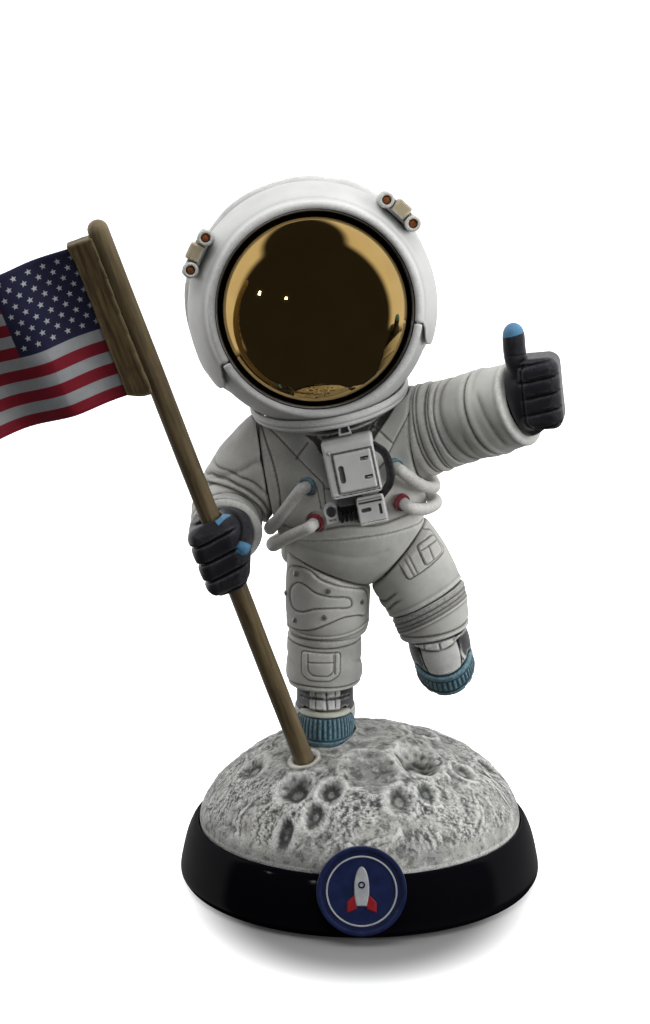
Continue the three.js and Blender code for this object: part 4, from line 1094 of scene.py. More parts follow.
def make_boot(name, place, body, top, cap, trim=None, plug=None, tongue=False):
    """A boot in two pieces: the upper with its straps, and the rubber sole with a ribbed toe cap."""
    corners = place.world([[x, y, z] for x in (-9, 9) for y in (-14, 12) for z in (-1, 17)])
    box = (corners.min(0) - 1, corners.max(0) + 1)

    def upper(p):
        q = place.local(p)
        d = common(boot_form(q, top), parting(q[:, 1], cap) + 0.15 - q[:, 2], 0.5)
        if trim:
            d = trim(p, d)
        if plug:
            d = plug(p, d)
        return d

    def straps(r, x, z, n, front):
        """Rows of pale plates with dark gaps, and dark squares beside them."""
        r.tint = smooth(np.abs(x), 3.3, 3.6) * smooth(z, top - 6.9, top - 6.6) * smooth(n[:, 1], 0.75, 0.45)
        for height in (top - 1.9, top - 4.2, top - 6.4):
            row = smooth(0.95 - np.abs(z - height + 0.05 * x * x * 0.4), -0.05, 0.15) * front
            plate = row * smooth(3.6 - np.abs(x), 0, 0.25)
            r.lift += 0.4 * plate
            r.tint = np.maximum(r.tint * (1 - plate), 0)
            below = z - height + 0.02 * x * x + 1.15
            r.groove(below, 0.24, 0.25, front * smooth(6.2 - np.abs(x), 0, 0.4), 1.0)
        r.groove(x + 0.1 * (z - top), 0.24, 0.4, front * smooth(z, top - 7.6, top - 7.0), 1.0)
        for offset in (-2.1, 2.3):
            r.groove(x - offset, 0.18, 0.22, front * smooth(z, top - 5.4, top - 5.1), 0.9)
        r.lift -= 0.25 * r.tint

    def open_front(r, x, y, z, front):
        """One row of plates over a dark upper with a pale tongue."""
        spot = np.hypot((x + 0.2) / 4.6, (z - 8.0 - 0.35 * (y + 8)) / 2.7)
        pale = (1 - smooth(spot, 0.92, 1.0)) * smooth(-y, 3.5, 5)
        r.tint = 1 - pale
        r.groove(spot - 1.0, 0.07, 0.3, smooth(-y, 3.5, 5), 1.0)
        r.lift += 0.15 * pale
        level = z - 10.6 + 0.16 * (y + 4)
        row = smooth(0.95 - np.abs(level), -0.05, 0.2) * front
        r.lift += 0.45 * row
        beside = np.exp(-(((np.abs(x) - 3.4) / 0.4) ** 2))
        r.tint *= 1 - row * smooth(np.abs(x), 0.5, 0.7) * (1 - 0.8 * beside)
        for offset in (-3.4, 0.0, 3.4):
            r.groove(x - offset, 0.22, 0.35, row, 1.0)
        strap = np.exp(-(((np.abs(x + 0.35 * z) - 7.2) / 0.3) ** 2)) * smooth(z, 5, 6)
        r.tint *= 1 - 0.8 * strap

    def upper_detail(r):
        q = place.local(r.points)
        x, y, z = q.T
        n = r.normals @ place.axes.T
        front = smooth(-n[:, 1], -0.3, 0.05)
        if tongue:
            open_front(r, x, y, z, front)
        else:
            straps(r, x, z, n, front)
        heel = smooth(y, 3, 5)
        r.tint = np.maximum(r.tint, heel * (1 - smooth(np.abs(z - 7.2), 2.2, 2.5)))
        r.groove(np.abs(z - 7.2) - 2.5, 0.2, 0.2, heel, 0.9)
        r.groove(z - parting(y, cap) - 0.3, 0.25, 0.2, 1.0, 1.0)

    def rubber(p):
        q = place.local(p)
        x, y, z = q.T
        around = np.arctan2(x, -(y + 1.6)) * 9.5
        toe = smooth(-y, 1.5, 4.5)
        low = smooth(z, 1.4, 2.2) * (1 - smooth(z - parting(y, cap), -1.9, -1.3))
        ribs = 0.13 * np.cos(around * 2 * math.pi / 1.1) * low
        rim = 0.3 * (1 - smooth(z, 1.1, 1.5)) + 0.16 * smooth(z - parting(y, cap), -1.4, -1.1)
        d = boot_form(q, 13.0) - (0.1 + ribs + rim) * (0.4 + 0.6 * toe)
        tread = 0.45 * (np.cos(y * 2 * math.pi / 2.6) > 0.0)
        d = common(d, tread * (1 - smooth(z, 0.6, 0.9)) - z, 0.3)
        return common(d, z - parting(y, cap) + 0.15, 0.5)

    def rubber_detail(r):
        _, y, z = place.local(r.points).T
        level = z - parting(y, cap)
        if not tongue:
            r.tint = smooth(level, -1.35, -1.1) * smooth(-y, 3.0, 4.5)
        r.groove(level + 1.4, 0.2, 0.15, 1.0, 0.9)
        r.groove(z - 1.3, 0.2, 0.12, 1.0, 0.9)

    node = name[5:]
    sculpt(f"{name}_upper", body, "boot", boot_paint, upper, box, 0.4, upper_detail, [f"boot_{node}"])
    sculpt(f"{name}_rubber", body, "sole", sole_paint, rubber, box, 0.36, rubber_detail, [f"sole_{node}"])


def make_boots():
    make_boot("boot_standing", BOOT_DOWN, "base", BOOT_TOP, 8.0)

    def below_hem(p, d):
        return common(d, SHIN.local(p)[:, 2] + GAP, 0.4)

    def ankle_plug(p, d):
        q = SHIN.local(p)
        neck = join(rod(q, 6.3, -6, 2.2, 0.3), rod(q, 2.6, -4, 6, 0.2))
        own = BOOT_UP.local(p)
        neck = common(neck, parting(own[:, 1], 5.6) + 0.3 - own[:, 2])
        return join(d, neck, 0.3)

    make_boot("boot_raised", BOOT_UP, "foot_raised", 11.0, 5.6, below_hem, ankle_plug, True)


# ------------------------------------------------------------------ legs
def standing_shin(p):
    q = p - vec(-8.5, 1.2, 0)
    d = limb(q, [(47.9, 8.1), (49.5, 8.8), (52, 9.0), (55, 8.9), (58, 8.7), (60.6, 8.9)], 0.9)
    d = d - 0.10 * noise(p, 5.0, 5) - 0.12 * np.sin(q[:, 2] * 0.9 + np.arctan2(q[:, 1], q[:, 0]) * 2)
    socket = rod(p - vec(LEG_X, 4, 0), 7.1 + GAP, 40, SOLE_Z + BOOT_TOP + GAP)
    return carve(d, socket, 0.2)


def standing_shin_detail(r):
    x, y, z = r.points.T
    seen = r.seen()
    pocket = [(-13.6, 57.7), (-13.6, 52.4), (-12.0, 51.1), (-7.0, 51.1), (-5.0, 52.6), (-4.9, 57.6)]
    r.patch(seen, pocket, 0.4, 0.22, sharp=True)
    stitches = [(-12.2, 57.4), (-12.2, 53.4), (-11.2, 52.3), (-7.4, 52.3), (-6.4, 53.4), (-6.4, 57.3)]
    r.seam(seen, stitches, 0.2, 0.2, sharp=True)
    r.seam(seen, [(-12.2, 55.4), (-6.4, 55.5)], 0.2, 0.18, sharp=True)
    r.seam(seen, [(-6.0, 57.4), (-6.1, 52.9)], 0.2, 0.22, sharp=True, ink=1.0)
    swirl = np.arctan2(x + 8.5, -(y - 1.2))
    r.groove(z - 59.1 + 0.35 * np.cos(swirl * 2.0), 0.3, 0.25, 1.0, 0.5)
    r.groove(z - 49.2 + 0.15 * np.sin(swirl * 3), 0.28, 0.3, 1.0, 0.7)
    r.lift += 0.2 * np.exp(-(((z - 48.5) / 0.5) ** 2))
    side = smooth(np.abs(swirl), 0.7, 1.4)
    r.lift -= 0.22 * np.exp(-(((z - 54.6 - 0.8 * np.sin(swirl * 3)) / 0.9) ** 2)) * side


KNEE_PANEL = [
    (-16.4, 77.3), (-14.0, 78.4), (-11.8, 77.9), (-9.4, 76.0), (-5.7, 74.6), (-1.5, 73.4), (0.9, 72.2),
    (1.4, 69.4), (0.9, 66.6), (-0.6, 67.1), (-4.2, 67.1), (-8.5, 65.4), (-11.8, 64.0), (-15.2, 63.4),
    (-16.9, 64.5), (-17.4, 70.8),
]
KNEE_TEAR = [
    (-16.2, 70.6), (-15.9, 73.2), (-14.4, 74.9), (-12.6, 74.5), (-10.4, 73.0), (-7.1, 72.2), (-3.4, 71.8),
    (-2.3, 70.6), (-2.8, 69.3), (-6.0, 69.4), (-10.4, 69.1), (-13.4, 68.0), (-15.4, 68.3),
]
KNEE_RIVETS = [(-14.8, 76.9), (-7.6, 73.6), (0.0, 69.9), (-8.4, 67.2), (-15.1, 65.6), (-17.0, 71.2)]


def standing_thigh(p):
    q = p - vec(-7.6, 0.4, 0)
    d = limb(q, [(60.9, 9.0), (63, 9.6), (68, 9.9), (74, 9.9), (80, 9.6), (88, 9.2)], 1.0)
    d = d - 0.12 * noise(p, 6.0, 7)
    return common(d, beyond(p, LEG_POINT, LEG_NORMAL) + GAP / 2, 0.9)


def standing_thigh_detail(r):
    x, y, z = r.points.T
    r.patch(r.seen(), KNEE_PANEL, 0.42, 0.28)
    r.seam(r.seen(), KNEE_TEAR, 0.26, 0.26, closed=True)
    hem = [(-17.2, 62.9), (-14, 62.1), (-10, 61.9), (-5, 62.2), (-1, 63.0), (1.8, 64.2)]
    r.piping(to_route(r.seen(), hem)[0], 0.3, 0.3, r.front)
    swirl = np.arctan2(x + 7.6, -y)
    back = smooth(y, -1, 3)
    r.groove(z - 68.5 - 0.8 * np.sin(swirl), 0.7, 0.5, back, 0.5)
    r.groove(z - 71.2 - 0.6 * np.sin(swirl + 1), 0.6, 0.4, back, 0.5)
    r.groove(z - 65.2 + 0.5 * np.sin(swirl), 0.7, 0.45, back, 0.5)


def rivet(name, body, place, size=0.72):
    dome = [(0, -0.5), (size, -0.5), (size * 1.05, 0.0), (size * 0.86, 0.42), (size * 0.5, 0.62), (0, 0.7)]
    spun(name, body, "steel", steel_paint, place, rounded(dome, 0.2, 0.3, False), 20, False)


def pelvis_field(p):
    d = egg(p, (-1.8, 0.4, 87), (17.6, 13.9, 14.5))
    d = d - 0.15 * noise(p, 7.0, 9)
    d = common(d, beyond(p, WAIST, WAIST_NORMAL) + GAP / 2, 0.7)
    d = common(d, GAP / 2 - beyond(p, LEG_POINT, LEG_NORMAL), 0.9)
    d = common(d, beyond(p, HIP, HIP_NORMAL) + GAP / 2, 0.9)
    return carve(d, rod(Frame(HIP, HIP_NORMAL).local(p), PEG_R + GAP, -6, 5))


def pelvis_detail(r):
    r.groove(r.points[:, 0] - 0.5, 0.3, 0.25, smooth(r.normals[:, 1], 0.1, 0.4), 0.6)
    for k, height in enumerate((79.5, 82.2)):
        r.groove(r.points[:, 2] - height - 0.8 * np.sin(r.points[:, 0] * 0.25 + k), 0.6, 0.35,
                 smooth(r.normals[:, 1], 0.2, 0.6), 0.4)
    crease = to_route(r.seen(), [(-15, 84.8), (-8, 83.4), (0, 82.6), (6, 84)])[0]
    r.lift -= 0.22 * np.exp(-((crease / 1.2) ** 2)) * r.front


def raised_thigh(p):
    q = THIGH.local(p)
    d = limb(q, [(GAP / 2, 9.2), (3, 9.8), (7, 10.0), (LENGTH_THIGH, 9.6), (LENGTH_THIGH + 9, 8)], 1.0)
    d = d - 0.15 * noise(p, 5.5, 15)
    d = common(d, GAP / 2 - beyond(p, HIP, HIP_NORMAL), 0.9)
    return carve(d, rod(Frame(HIP, HIP_NORMAL).local(p), PEG_R + GAP, -1, 5))


PATCH = [(7.8, 82.2), (10.0, 85.0), (13.6, 87.2), (16.0, 86.6), (19.4, 81.8), (11.0, 76.7)]


def raised_thigh_detail(r):
    seen = r.seen()
    r.patch(seen, PATCH, 0.45, 0.22, sharp=True)
    r.patch(seen, [(12.9, 84.0), (16.4, 85.5), (18.6, 81.8), (14.9, 79.7)], 0.4, 0.2, sharp=True)
    for ends in ([(9.0, 83.3), (12.2, 77.5)], [(10.0, 83.9), (13.0, 78.1)], [(13.7, 82.9), (17.3, 84.3)],
                 [(15.3, 83.6), (16.5, 80.7)]):
        r.seam(seen, ends, 0.2, 0.22, sharp=True)
    r.seam(seen, [(4.6, 78.2), (7.2, 82.4), (10.8, 86.9), (15.2, 90.2)], 0.3, 0.28, ink=0.6)
    q = THIGH.local(r.points)
    r.lift += 0.32 * np.exp(-(((q[:, 2] - 0.75) / 0.5) ** 2))
    back = smooth(q[:, 1], 1, 4)
    for k, at in enumerate((2.6, 5.2, 8.2)):
        r.groove(q[:, 2] - at - 0.5 * np.sin(q[:, 0] * 0.3 + k), 0.7, 0.5, back, 0.5)
    inner = smooth(-q[:, 0], 3, 7)
    for k, at in enumerate((3.2, 5.6)):
        r.lift -= 0.45 * np.exp(-(((q[:, 2] - at - 0.7 * np.sin(q[:, 1] * 0.5 + k)) / 0.6) ** 2)) * inner
    r.lift -= np.maximum(r.lift, 0) * (1 - smooth(beyond(r.points, HIP, HIP_NORMAL), 0.4, 1.8))


def raised_shin(p):
    q = SHIN.local(p)
    d = limb(q, [(0, 7.9), (2.2, 8.6), (LENGTH_SHIN - 3, 9.1), (LENGTH_SHIN + 8, 9.5)], 0.9)
    d = d - 0.10 * noise(p, 4.5, 17)
    d = common(d, GAP / 2 - beyond(p, KNEE, KNEE - HIP), 0.6)
    d = carve(d, rod(q, 6.4 + GAP, -1, 2.6), 0.3)
    return carve(d, rod(q, 2.6 + GAP, -1, 6.5))


def raised_shin_detail(r):
    below = -beyond(r.points, KNEE, HIP - KNEE)
    q = SHIN.local(r.points)
    r.tint = smooth(below, 0.5, 0.65) * (1 - smooth(below, 3.7, 3.9))
    r.piping(below - 4.05, 0.28, 0.2)
    for at in (0.45, 1.6, 2.7):
        r.groove(below - at, 0.2, 0.2, 1.0, 0.6)
    r.groove(q[:, 2] - 1.7 - 0.3 * np.sin(np.arctan2(q[:, 1], q[:, 0]) * 2), 0.4, 0.3, 1.0, 0.5)
    r.lift += 0.22 * np.exp(-(((q[:, 2] - 0.7) / 0.5) ** 2))


def make_legs():
    sculpt("shin_standing_suit", "base", "suit", suit_paint, standing_shin,
           ((-19, -9.5, 46.5), (2, 12, 62)), 0.4, standing_shin_detail, ["shin_standing"])
    sculpt("thigh_standing_suit", "base", "suit", suit_paint, standing_thigh,
           ((-19, -11, 59.5), (4, 12, 84)), 0.42, standing_thigh_detail, ["thigh_standing"])
    for i, (x, z) in enumerate(KNEE_RIVETS):
        y = 0.4 - math.sqrt(9.95**2 - min(abs(x + 7.6), 9.6) ** 2)
        out = unit((x + 7.6, y - 0.4, 0))
        rivet(f"knee_rivet_{i + 1}", "base", Frame((x, y, z) + out * 0.25, out, (0, 0, -1)))
    sculpt("pelvis_suit", "base", "suit", suit_paint, pelvis_field, ((-21, -15, 71), (17, 16, 92)), 0.5,
           pelvis_detail, ["pelvis"])
    sculpt("thigh_raised_suit", "leg_raised", "suit", suit_paint, raised_thigh,
           ((0, -13, 63), (27, 12, 96)), 0.42, raised_thigh_detail, ["thigh_raised"])
    sculpt("shin_raised_suit", "leg_raised", "suit", band_paint, raised_shin, ((6, -13, 57), (28, 10, 77)),
           0.4, raised_shin_detail, ["shin_raised"])


# ------------------------------------------------------------------ torso
def ring_space(p):
    q = NECK.local(p)
    r = np.hypot(q[:, 0], q[:, 1])
    bottom = np.interp(r, [0, 16, 18.1, 19.3], [-27, -24.6, -23.9, -22.6])
    return np.maximum(np.maximum(r - 19.1, (bottom - q[:, 2]) * 0.9), q[:, 2] + 17.5)


TRUNK_SHAPE = through(
    [(-6, 16.4), (-1.5, 18.0), (4, 18.6), (10, 18.3), (16, 17.2), (21, 15.2), (25, 12.4), (28.6, 8)]
)


def torso_bulk(p):
    q = TRUNK.local(p)
    d = (np.hypot(q[:, 0], q[:, 1] / 0.82) - TRUNK_SHAPE(q[:, 2])) * 0.85
    d = common(d, q[:, 2] - 28.4, 1.5)
    d = join(d, rod(Frame(SHOULDER_L, SHOULDER_L_NORMAL).local(p), 10.8, -14, 0.8, 0.3), 3.0)
    return join(d, egg(p, (-19, 0, 100.5), (9, 10.4, 13.4)), 3.0)


def torso_field(p):
    d = torso_bulk(p) - 0.16 * noise(p, 7.0, 19)
    d = common(d, GAP / 2 - beyond(p, WAIST, WAIST_NORMAL), 0.8)
    d = common(d, beyond(p, SHOULDER_L, SHOULDER_L_NORMAL) + GAP / 2, 0.8)
    d = common(d, beyond(p, SHOULDER_R, SHOULDER_R_NORMAL) + GAP / 2, 0.8)
    d = carve(d, ball(p, HEAD_CENTRE, HEAD_SWEEP_R), 0.3)
    d = carve(d, ring_space(p), 0.3)
    for collar, out, _ in HOSES.values():
        d = carve(d, rod(Frame(collar, out).local(p), 2.4, -1.4, 5), 0.3)
    d = carve(d, string(p, curved(hose_path(*HOSES["right_blue"]), parts=3), HOSE_R + 0.3), 0.3)
    return carve(d, rod(NECK.local(p), 4.9, -41, -20))


def torso_detail(r):
    seen = r.seen()
    x, _, z = r.points.T
    straps = [
        [(-24.5, 114), (-19.7, 110.6), (-14.0, 105.4), (-8.8, 100.8), (-8.2, 99.6), (-6.5, 100.5),
         (-6.4, 108), (-12, 112), (-18, 116), (-24, 118)],
        [(12.4, 119), (10.2, 114.8), (7.8, 110.4), (4.8, 104.6), (2.4, 104), (1.6, 110), (5, 117), (9, 121)],
    ]
    for strap in straps:
        r.patch(seen, strap, 0.30, 0.22)
    r.seam(seen, [(-12.2, 109.0), (-14.9, 105.4)], 0.25, 0.25)
    r.seam(seen, [(3.4, 112.5), (7.1, 109.1)], 0.25, 0.25)
    # The chest below the neck ring is sunk and painted near black, a painted shade under the ring.
    ring_shade_inset = [
        (-16.6, 114.0), (-10.8, 109.2), (-8.0, 106.4), (0.8, 107.6), (3.4, 110.8), (8.4, 119.4), (-4, 118),
    ]
    distance, inside = to_route(seen, ring_shade_inset, True)
    signed = np.where(inside, -distance, distance)
    dark = (1 - smooth(signed, -0.25, 0.15)) * r.front
    r.tint = dark
    r.lift -= 0.55 * dark
    r.seam(seen, [(-8.7, 100.4), (-8.4, 97.4), (-8.1, 94.8)], 0.2, 0.2)
    r.seam(seen, [(-10.2, 99.4), (-9.6, 96.6), (-9.2, 94.6)], 0.2, 0.16, ink=0.5)
    side = smooth(np.abs(r.normals[:, 1]), 0, 1)
    r.seam(seen, [(-23.4, 112.5), (-20.4, 104.6), (-18.9, 97.9), (-18.6, 92.0)], 0.28, 0.3, where=r.front)
    r.groove(z - 90.4 - 0.11 * (x + 2) + 0.4 * np.sin(x * 0.4), 0.5, 0.22, r.front * side, 0.25)
    back = smooth(r.normals[:, 1], 0.1, 0.5)
    r.groove(z - 90.8 - 0.1 * x, 0.5, 0.3, back, 0.5)


def make_torso():
    sculpt("torso_suit", "base", "suit", suit_paint, torso_field, ((-31, -17, 82), (16, 17, 123)), 0.48,
           torso_detail, ["torso"])
    seat = HELMET_R + 0.4
    low, high = math.radians(35), math.radians(41)
    first, last = ((seat * math.sin(a), -seat * math.cos(a)) for a in (low, high))
    outside = [(16.2, -24.3), (17.7, -23.9), (18.3, -23.2), (17.95, -22.75), (18.65, -22.2), (18.6, -21.5)]
    band = rounded([first, *outside, last], 0.3, 0.5)
    spun("neck_ring_band", "base", "trim", helmet_paint, NECK, band, 180, nodes=["neck_ring"])
    make_chest_pack()
    make_hoses()
    make_backpack()


def clear_of_torso(p, d, gap=0.35):
    return carve(d, torso_bulk(p) - gap, 0.1)


def make_chest_pack():
    upper = Frame((-2.2, -17.2, 105.6), PACK_UP, PACK_FRONT)
    lower = Frame((2.4, -17.6, 95.4), PACK_UP, PACK_FRONT)

    def box_field(p):
        q = upper.local(p)
        d = block(q, (5.8, 4.3, 6.7), 0.7)
        d = common(d, (-q[:, 1] * 0.62 + q[:, 2] * 0.78) - 6.9, 0.5)
        face = q - vec(0.6, -4.3, -1.1)
        door = block(face, (4.3, 0.55, 4.4), 0.45)
        d = carve(d, block(face, (4.75, 0.25, 4.85), 0.1), 0.15)
        d = join(d, door, 0.1)
        d = carve(d, capsule(face, (-3.0, -0.9, -1.6), (-3.0, -0.9, 1.2), 0.62), 0.2)
        for at in ((2.6, -0.5, 2.5), (2.8, -0.5, -1.8)):
            d = carve(d, block(face - np.array(at), (0.95, 0.5, 0.42), 0.12), 0.12)
            d = join(d, block(face - np.array(at) - vec(0, 0.1, -0.1), (0.8, 0.3, 0.12), 0.08), 0.05)
        for corner in ((-5.0, -0.1, 5.0), (5.0, -0.1, -5.0)):
            d = join(d, ball(face, corner, 0.32), 0.1)
        d = carve(d, np.abs(q[:, 2] + 6.1) - 0.12, 0.12)
        d = carve(d, ring_space(p) - 0.1)
        return clear_of_torso(p, d)

    def box_detail(r):
        face = upper.local(r.points) - vec(0.6, -4.3, -1.1)
        dark = 1 - smooth(capsule(face, (-3.0, -0.9, -1.6), (-3.0, -0.9, 1.2), 0.62), 0.05, 0.2)
        for at in ((2.6, -0.35, 2.5), (2.8, -0.35, -1.8)):
            window = block(face - np.array(at), (0.9, 0.4, 0.36), 0.1)
            dark = np.maximum(dark, (1 - smooth(window, 0.0, 0.15)) * 0.8)
        r.tint = np.clip(dark, 0, 1)
        edge = block(face * (1, 0, 1), (4.5, 9, 4.6), 0.3)
        r.wash = np.maximum(r.wash, 0.75 * np.exp(-((edge / 0.28) ** 2)) * smooth(-face[:, 1], -0.6, -0.3))

    sculpt("chest_box_case", "base", "trim", trim_paint, box_field, ((-12, -25, 96), (7, -8, 115)), 0.28,
           box_detail, ["chest_box"], fine=0.04)

    def lower_field(p):
        q = lower.local(p)
        d = block(q, (3.2, 3.0, 3.2), 0.4)
        face = q - vec(0, -3.0, 0)
        d = carve(d, block(face - vec(0, 0, 2.0), (2.7, 0.35, 0.16), 0.1), 0.1)
        d = carve(d, capsule(face, (-1.9, -0.1, 0.3), (-0.5, -0.1, 0.3), 0.42), 0.15)
        d = carve(d, block(face - vec(2.0, 0, 0), (0.28, 0.35, 1.15), 0.1), 0.1)
        d = carve(d, np.abs(q[:, 2] + 2.55) - 0.08, 0.1)
        d = join(d, block(face - vec(0, 0, 3.1), (2.9, 0.5, 0.32), 0.2), 0.1)
        return clear_of_torso(p, d)

    def lower_detail(r):
        face = lower.local(r.points) - vec(0, -3.0, 0)
        dark = 1 - smooth(capsule(face, (-1.9, -0.1, 0.3), (-0.5, -0.1, 0.3), 0.42), 0.0, 0.18)
        dark = np.maximum(dark, 1 - smooth(block(face - vec(2.0, 0, 0), (0.3, 0.35, 1.15), 0.1), 0.0, 0.15))
        dark = np.maximum(dark, 1 - smooth(block(face - vec(0, 0, 2.0), (2.7, 0.35, 0.18), 0.1), 0.0, 0.15))
        r.tint = dark

    sculpt("lower_box_case", "base", "trim", trim_paint, lower_field, ((-2.5, -22.5, 90), (7.5, -11, 101)),
           0.22, lower_detail, ["lower_box"], fine=0.04)
    make_fittings()


def make_fittings():
    ring = Frame((-6.9, -16.4, 94.4), PACK_UP, PACK_FRONT)

    def buckle(p):
        q = ring.local(p)
        flat = q * (1, 0, 1)
        loop = np.hypot(length(flat * (1, 0, 0.86) - vec(0, 0, 0.1)) - 1.45, q[:, 1]) - 0.36
        plate = block(q - vec(0, 0.1, -2.0), (1.5, 0.5, 0.75), 0.25)
        back = block(q - vec(0, 1.3, 0.1), (1.2, 1.6, 1.5), 0.5)
        d = join(join(loop, plate, 0.3), back, 0.2)
        return clear_of_torso(p, carve(d, block(q - vec(0, -0.5, -2.0), (0.8, 0.3, 0.25), 0.1), 0.1), 0.15)

    def buckle_detail(r):
        q = ring.local(r.points)
        r.tint = 1 - smooth(length(q * (1, 0, 0.86)), 0.95, 1.2)

    sculpt("strap_ring", "base", "trim", trim_paint, buckle, ((-10, -19, 90), (-4, -12, 98)), 0.2,
           buckle_detail, ["hose_fitting"])

    comb = Frame((-3.1, -17.1, 94.4), PACK_UP, PACK_FRONT)

    def comb_field(p):
        q = comb.local(p)
        d = block(q - vec(0, 0.6, 0.9), (2.2, 1.4, 0.9), 0.2)
        for x in (-1.6, -0.55, 0.55, 1.6):
            d = join(d, block(q - vec(x, 0.2, -0.7), (0.3, 1.5, 1.3), 0.2), 0.1)
        return clear_of_torso(p, d, 0.15)

    sculpt("comb_plug", "base", "cable", cable_paint, comb_field, ((-6.5, -20, 91), (0, -12, 98)), 0.22,
           None, ["comb_connector"])

    apron = Frame((-2.6, -15.9, 97.6), PACK_UP, PACK_FRONT)

    def apron_field(p):
        q = apron.local(p)
        taper = np.abs(q[:, 0]) - 2.9 - 0.18 * q[:, 2]
        d = common(block(q, (4, 1.6, 1.7), 0.3), taper, 0.3)
        return clear_of_torso(p, d, 0.15)

    sculpt("pack_apron", "base", "dark_trim", dark_paint, apron_field, ((-7.5, -19, 94.5), (2.5, -11, 101)),
           0.25)

    collar = Frame((-3.9, -15.6, 113.0), (-0.2, 0.5, 0.85), (0, -0.95, 0.3))

    def collar_buckle(p):
        q = collar.local(p)
        taper = np.abs(q[:, 0]) - 1.5 + 0.16 * (q[:, 2] + 1)
        d = common(block(q, (2, 1.3, 1.1), 0.2), taper, 0.2)
        d = carve(d, common(block(q - vec(0, -1.1, 0.0), (1.0, 0.5, 0.65), 0.15), taper + 0.5), 0.15)
        return d

    def collar_detail(r):
        q = collar.local(r.points)
        r.tint = 1 - smooth(block(q - vec(0, -1.1, 0), (0.9, 0.55, 0.6), 0.1), 0, 0.2)

    sculpt("collar_buckle", "base", "dark_trim", trim_paint, collar_buckle,
           ((-7, -19, 110), (-1, -12, 116)), 0.2, collar_detail)
    route = [
        (2.6, -18.2, 110.6), (5.2, -18.2, 108.6), (6.5, -18.1, 104.6), (6.3, -17.8, 101.4),
        (4.6, -17.6, 98.8),
    ]
    swept("side_cable_cord", "base", "cable", cable_paint, route, 0.95, 20, 8, ["side_cable"])


def make_hoses():
    for name, (collar, out, route) in HOSES.items():
        bore, outer = HOSE_R + 0.1, 2.05
        mouth = [(outer, -0.3), (outer - 0.25, 0.1), (bore + 0.25, 0.15), (bore, -0.1)]
        section = [(bore, -1.4), (outer, -1.4), *mouth]
        colour = blue_paint if "blue" in name else red_paint
        spun(f"collar_{name}", "base", "collar_" + name.split("_")[1], colour, Frame(collar, out),
             rounded(section, 0.2, 0.3), 64, nodes=[f"hose_collar_{name}"])
        path = hose_path(collar, out, route)
        swept(f"hose_{name}_tube", "base", "cable", hose_paint, path,
              lambda s: HOSE_R + 0.1 * np.exp(-((s / 0.12) ** 2)), 32, 10, [f"hose_{name}"])


def make_backpack():
    centre = vec(-1.8, 19.5, 92.5)

    def pack(p):
        q = p - centre
        d = block(q, (17, 8.1, 19.5), 3.2)
        lid = block(q - vec(0, 0.3, 13.6), (16.4, 8.1, 5.4), 2.6)
        d = join(common(d, q[:, 2] - 8.6, 0.6), lid, 0.2)
        d = carve(d, block(q - vec(0, 8.4, -4.5), (11.5, 0.9, 9.5), 1.0), 0.4)
        d = join(d, block(q - vec(0, 7.2, -4.5), (10.4, 0.75, 8.4), 0.6), 0.2)
        for k in range(5):
            d = carve(d, block(q - vec(0, 8.2, 0.2 - 2.0 * k), (6.0, 0.6, 0.35), 0.3), 0.2)
        for x in (-13.9, 13.9):
            d = join(d, block(q - vec(x, 8.2, -4.5), (1.1, 0.5, 5.5), 0.4), 0.2)
        d = carve(d, torso_bulk(p) - 0.45, 0.3)
        d = carve(d, egg(p, (-1.8, 0.4, 87), (17.8, 14.1, 14.7)) - 0.5, 0.3)
        d = carve(d, ball(p, HEAD_CENTRE, HOOD_R + 1.1), 0.3)
        d = carve(d, ring_space(p) - 0.3)
        for _, _, route in HOSES.values():
            end = np.array(route[-1], float)
            d = carve(d, capsule(p, end, end + vec(0, 1.6, 0), HOSE_R + 0.15), 0.2)
        return d

    def pack_detail(r):
        q = r.points - centre
        side = smooth(np.abs(r.normals[:, 0]), 0.6, 0.9)
        for z in (-12.5, 2.5):
            r.groove(q[:, 2] - z, 0.3, 0.22, side, 0.7)
        r.groove(q[:, 1] + 2.5, 0.3, 0.25, side, 0.7)
        r.tint = smooth(-q[:, 1], 4.2, 4.6) * 0.35 * side

    sculpt("backpack_shell", "base", "suit", suit_paint, pack, ((-20, 6, 72), (17, 29, 113)), 0.55,
           pack_detail, ["backpack"])
    for i, (x, z) in enumerate([(-11.2, 4.2), (11.2, 4.2), (-11.2, -13.2), (11.2, -13.2)]):
        rivet(f"pack_screw_{i + 1}", "base", Frame(centre + vec(x, 7.9, z), (0, 1, 0), (0, 0, -1)), 0.8)


# ------------------------------------------------------------------ arms and hands
def upper_arm_left(p):
    q = ARM_L.local(p)
    reach = np.linalg.norm(ELBOW_L - SHOULDER_L)
    radius = through([(-8, 11.2), (0, 10.8), (reach, 10.1), (reach + 8, 10)])(q[:, 2])
    d = np.hypot(q[:, 0], q[:, 1]) - radius - 0.12 * noise(p, 5, 23)
    d = common(d, GAP / 2 - beyond(p, SHOULDER_L, SHOULDER_L_NORMAL), 0.9)
    d = common(d, beyond(p, ELBOW_L, WRIST_L - ELBOW_L) + GAP / 2, 0.5)
    d = carve(d, ball(p, HEAD_CENTRE, HEAD_SWEEP_R), 0.4)
    d = carve(d, ring_space(p), 0.3)
    axis = Frame(SHOULDER_L, SHOULDER_L_NORMAL)

    def around_axis(points):
        """Distance from the shoulder's axis, and height along it."""
        own = axis.local(points)
        return np.stack([length(own[:, :2]), own[:, 2]], 1)

    hose = around_axis(hose_path(*HOSES["left_blue"]))
    d = carve(d, to_route(around_axis(p), hose)[0] - HOSE_R - 0.4, 0.3)
    return carve(d, rod(axis.local(p), PEG_R + GAP, -1, 5))


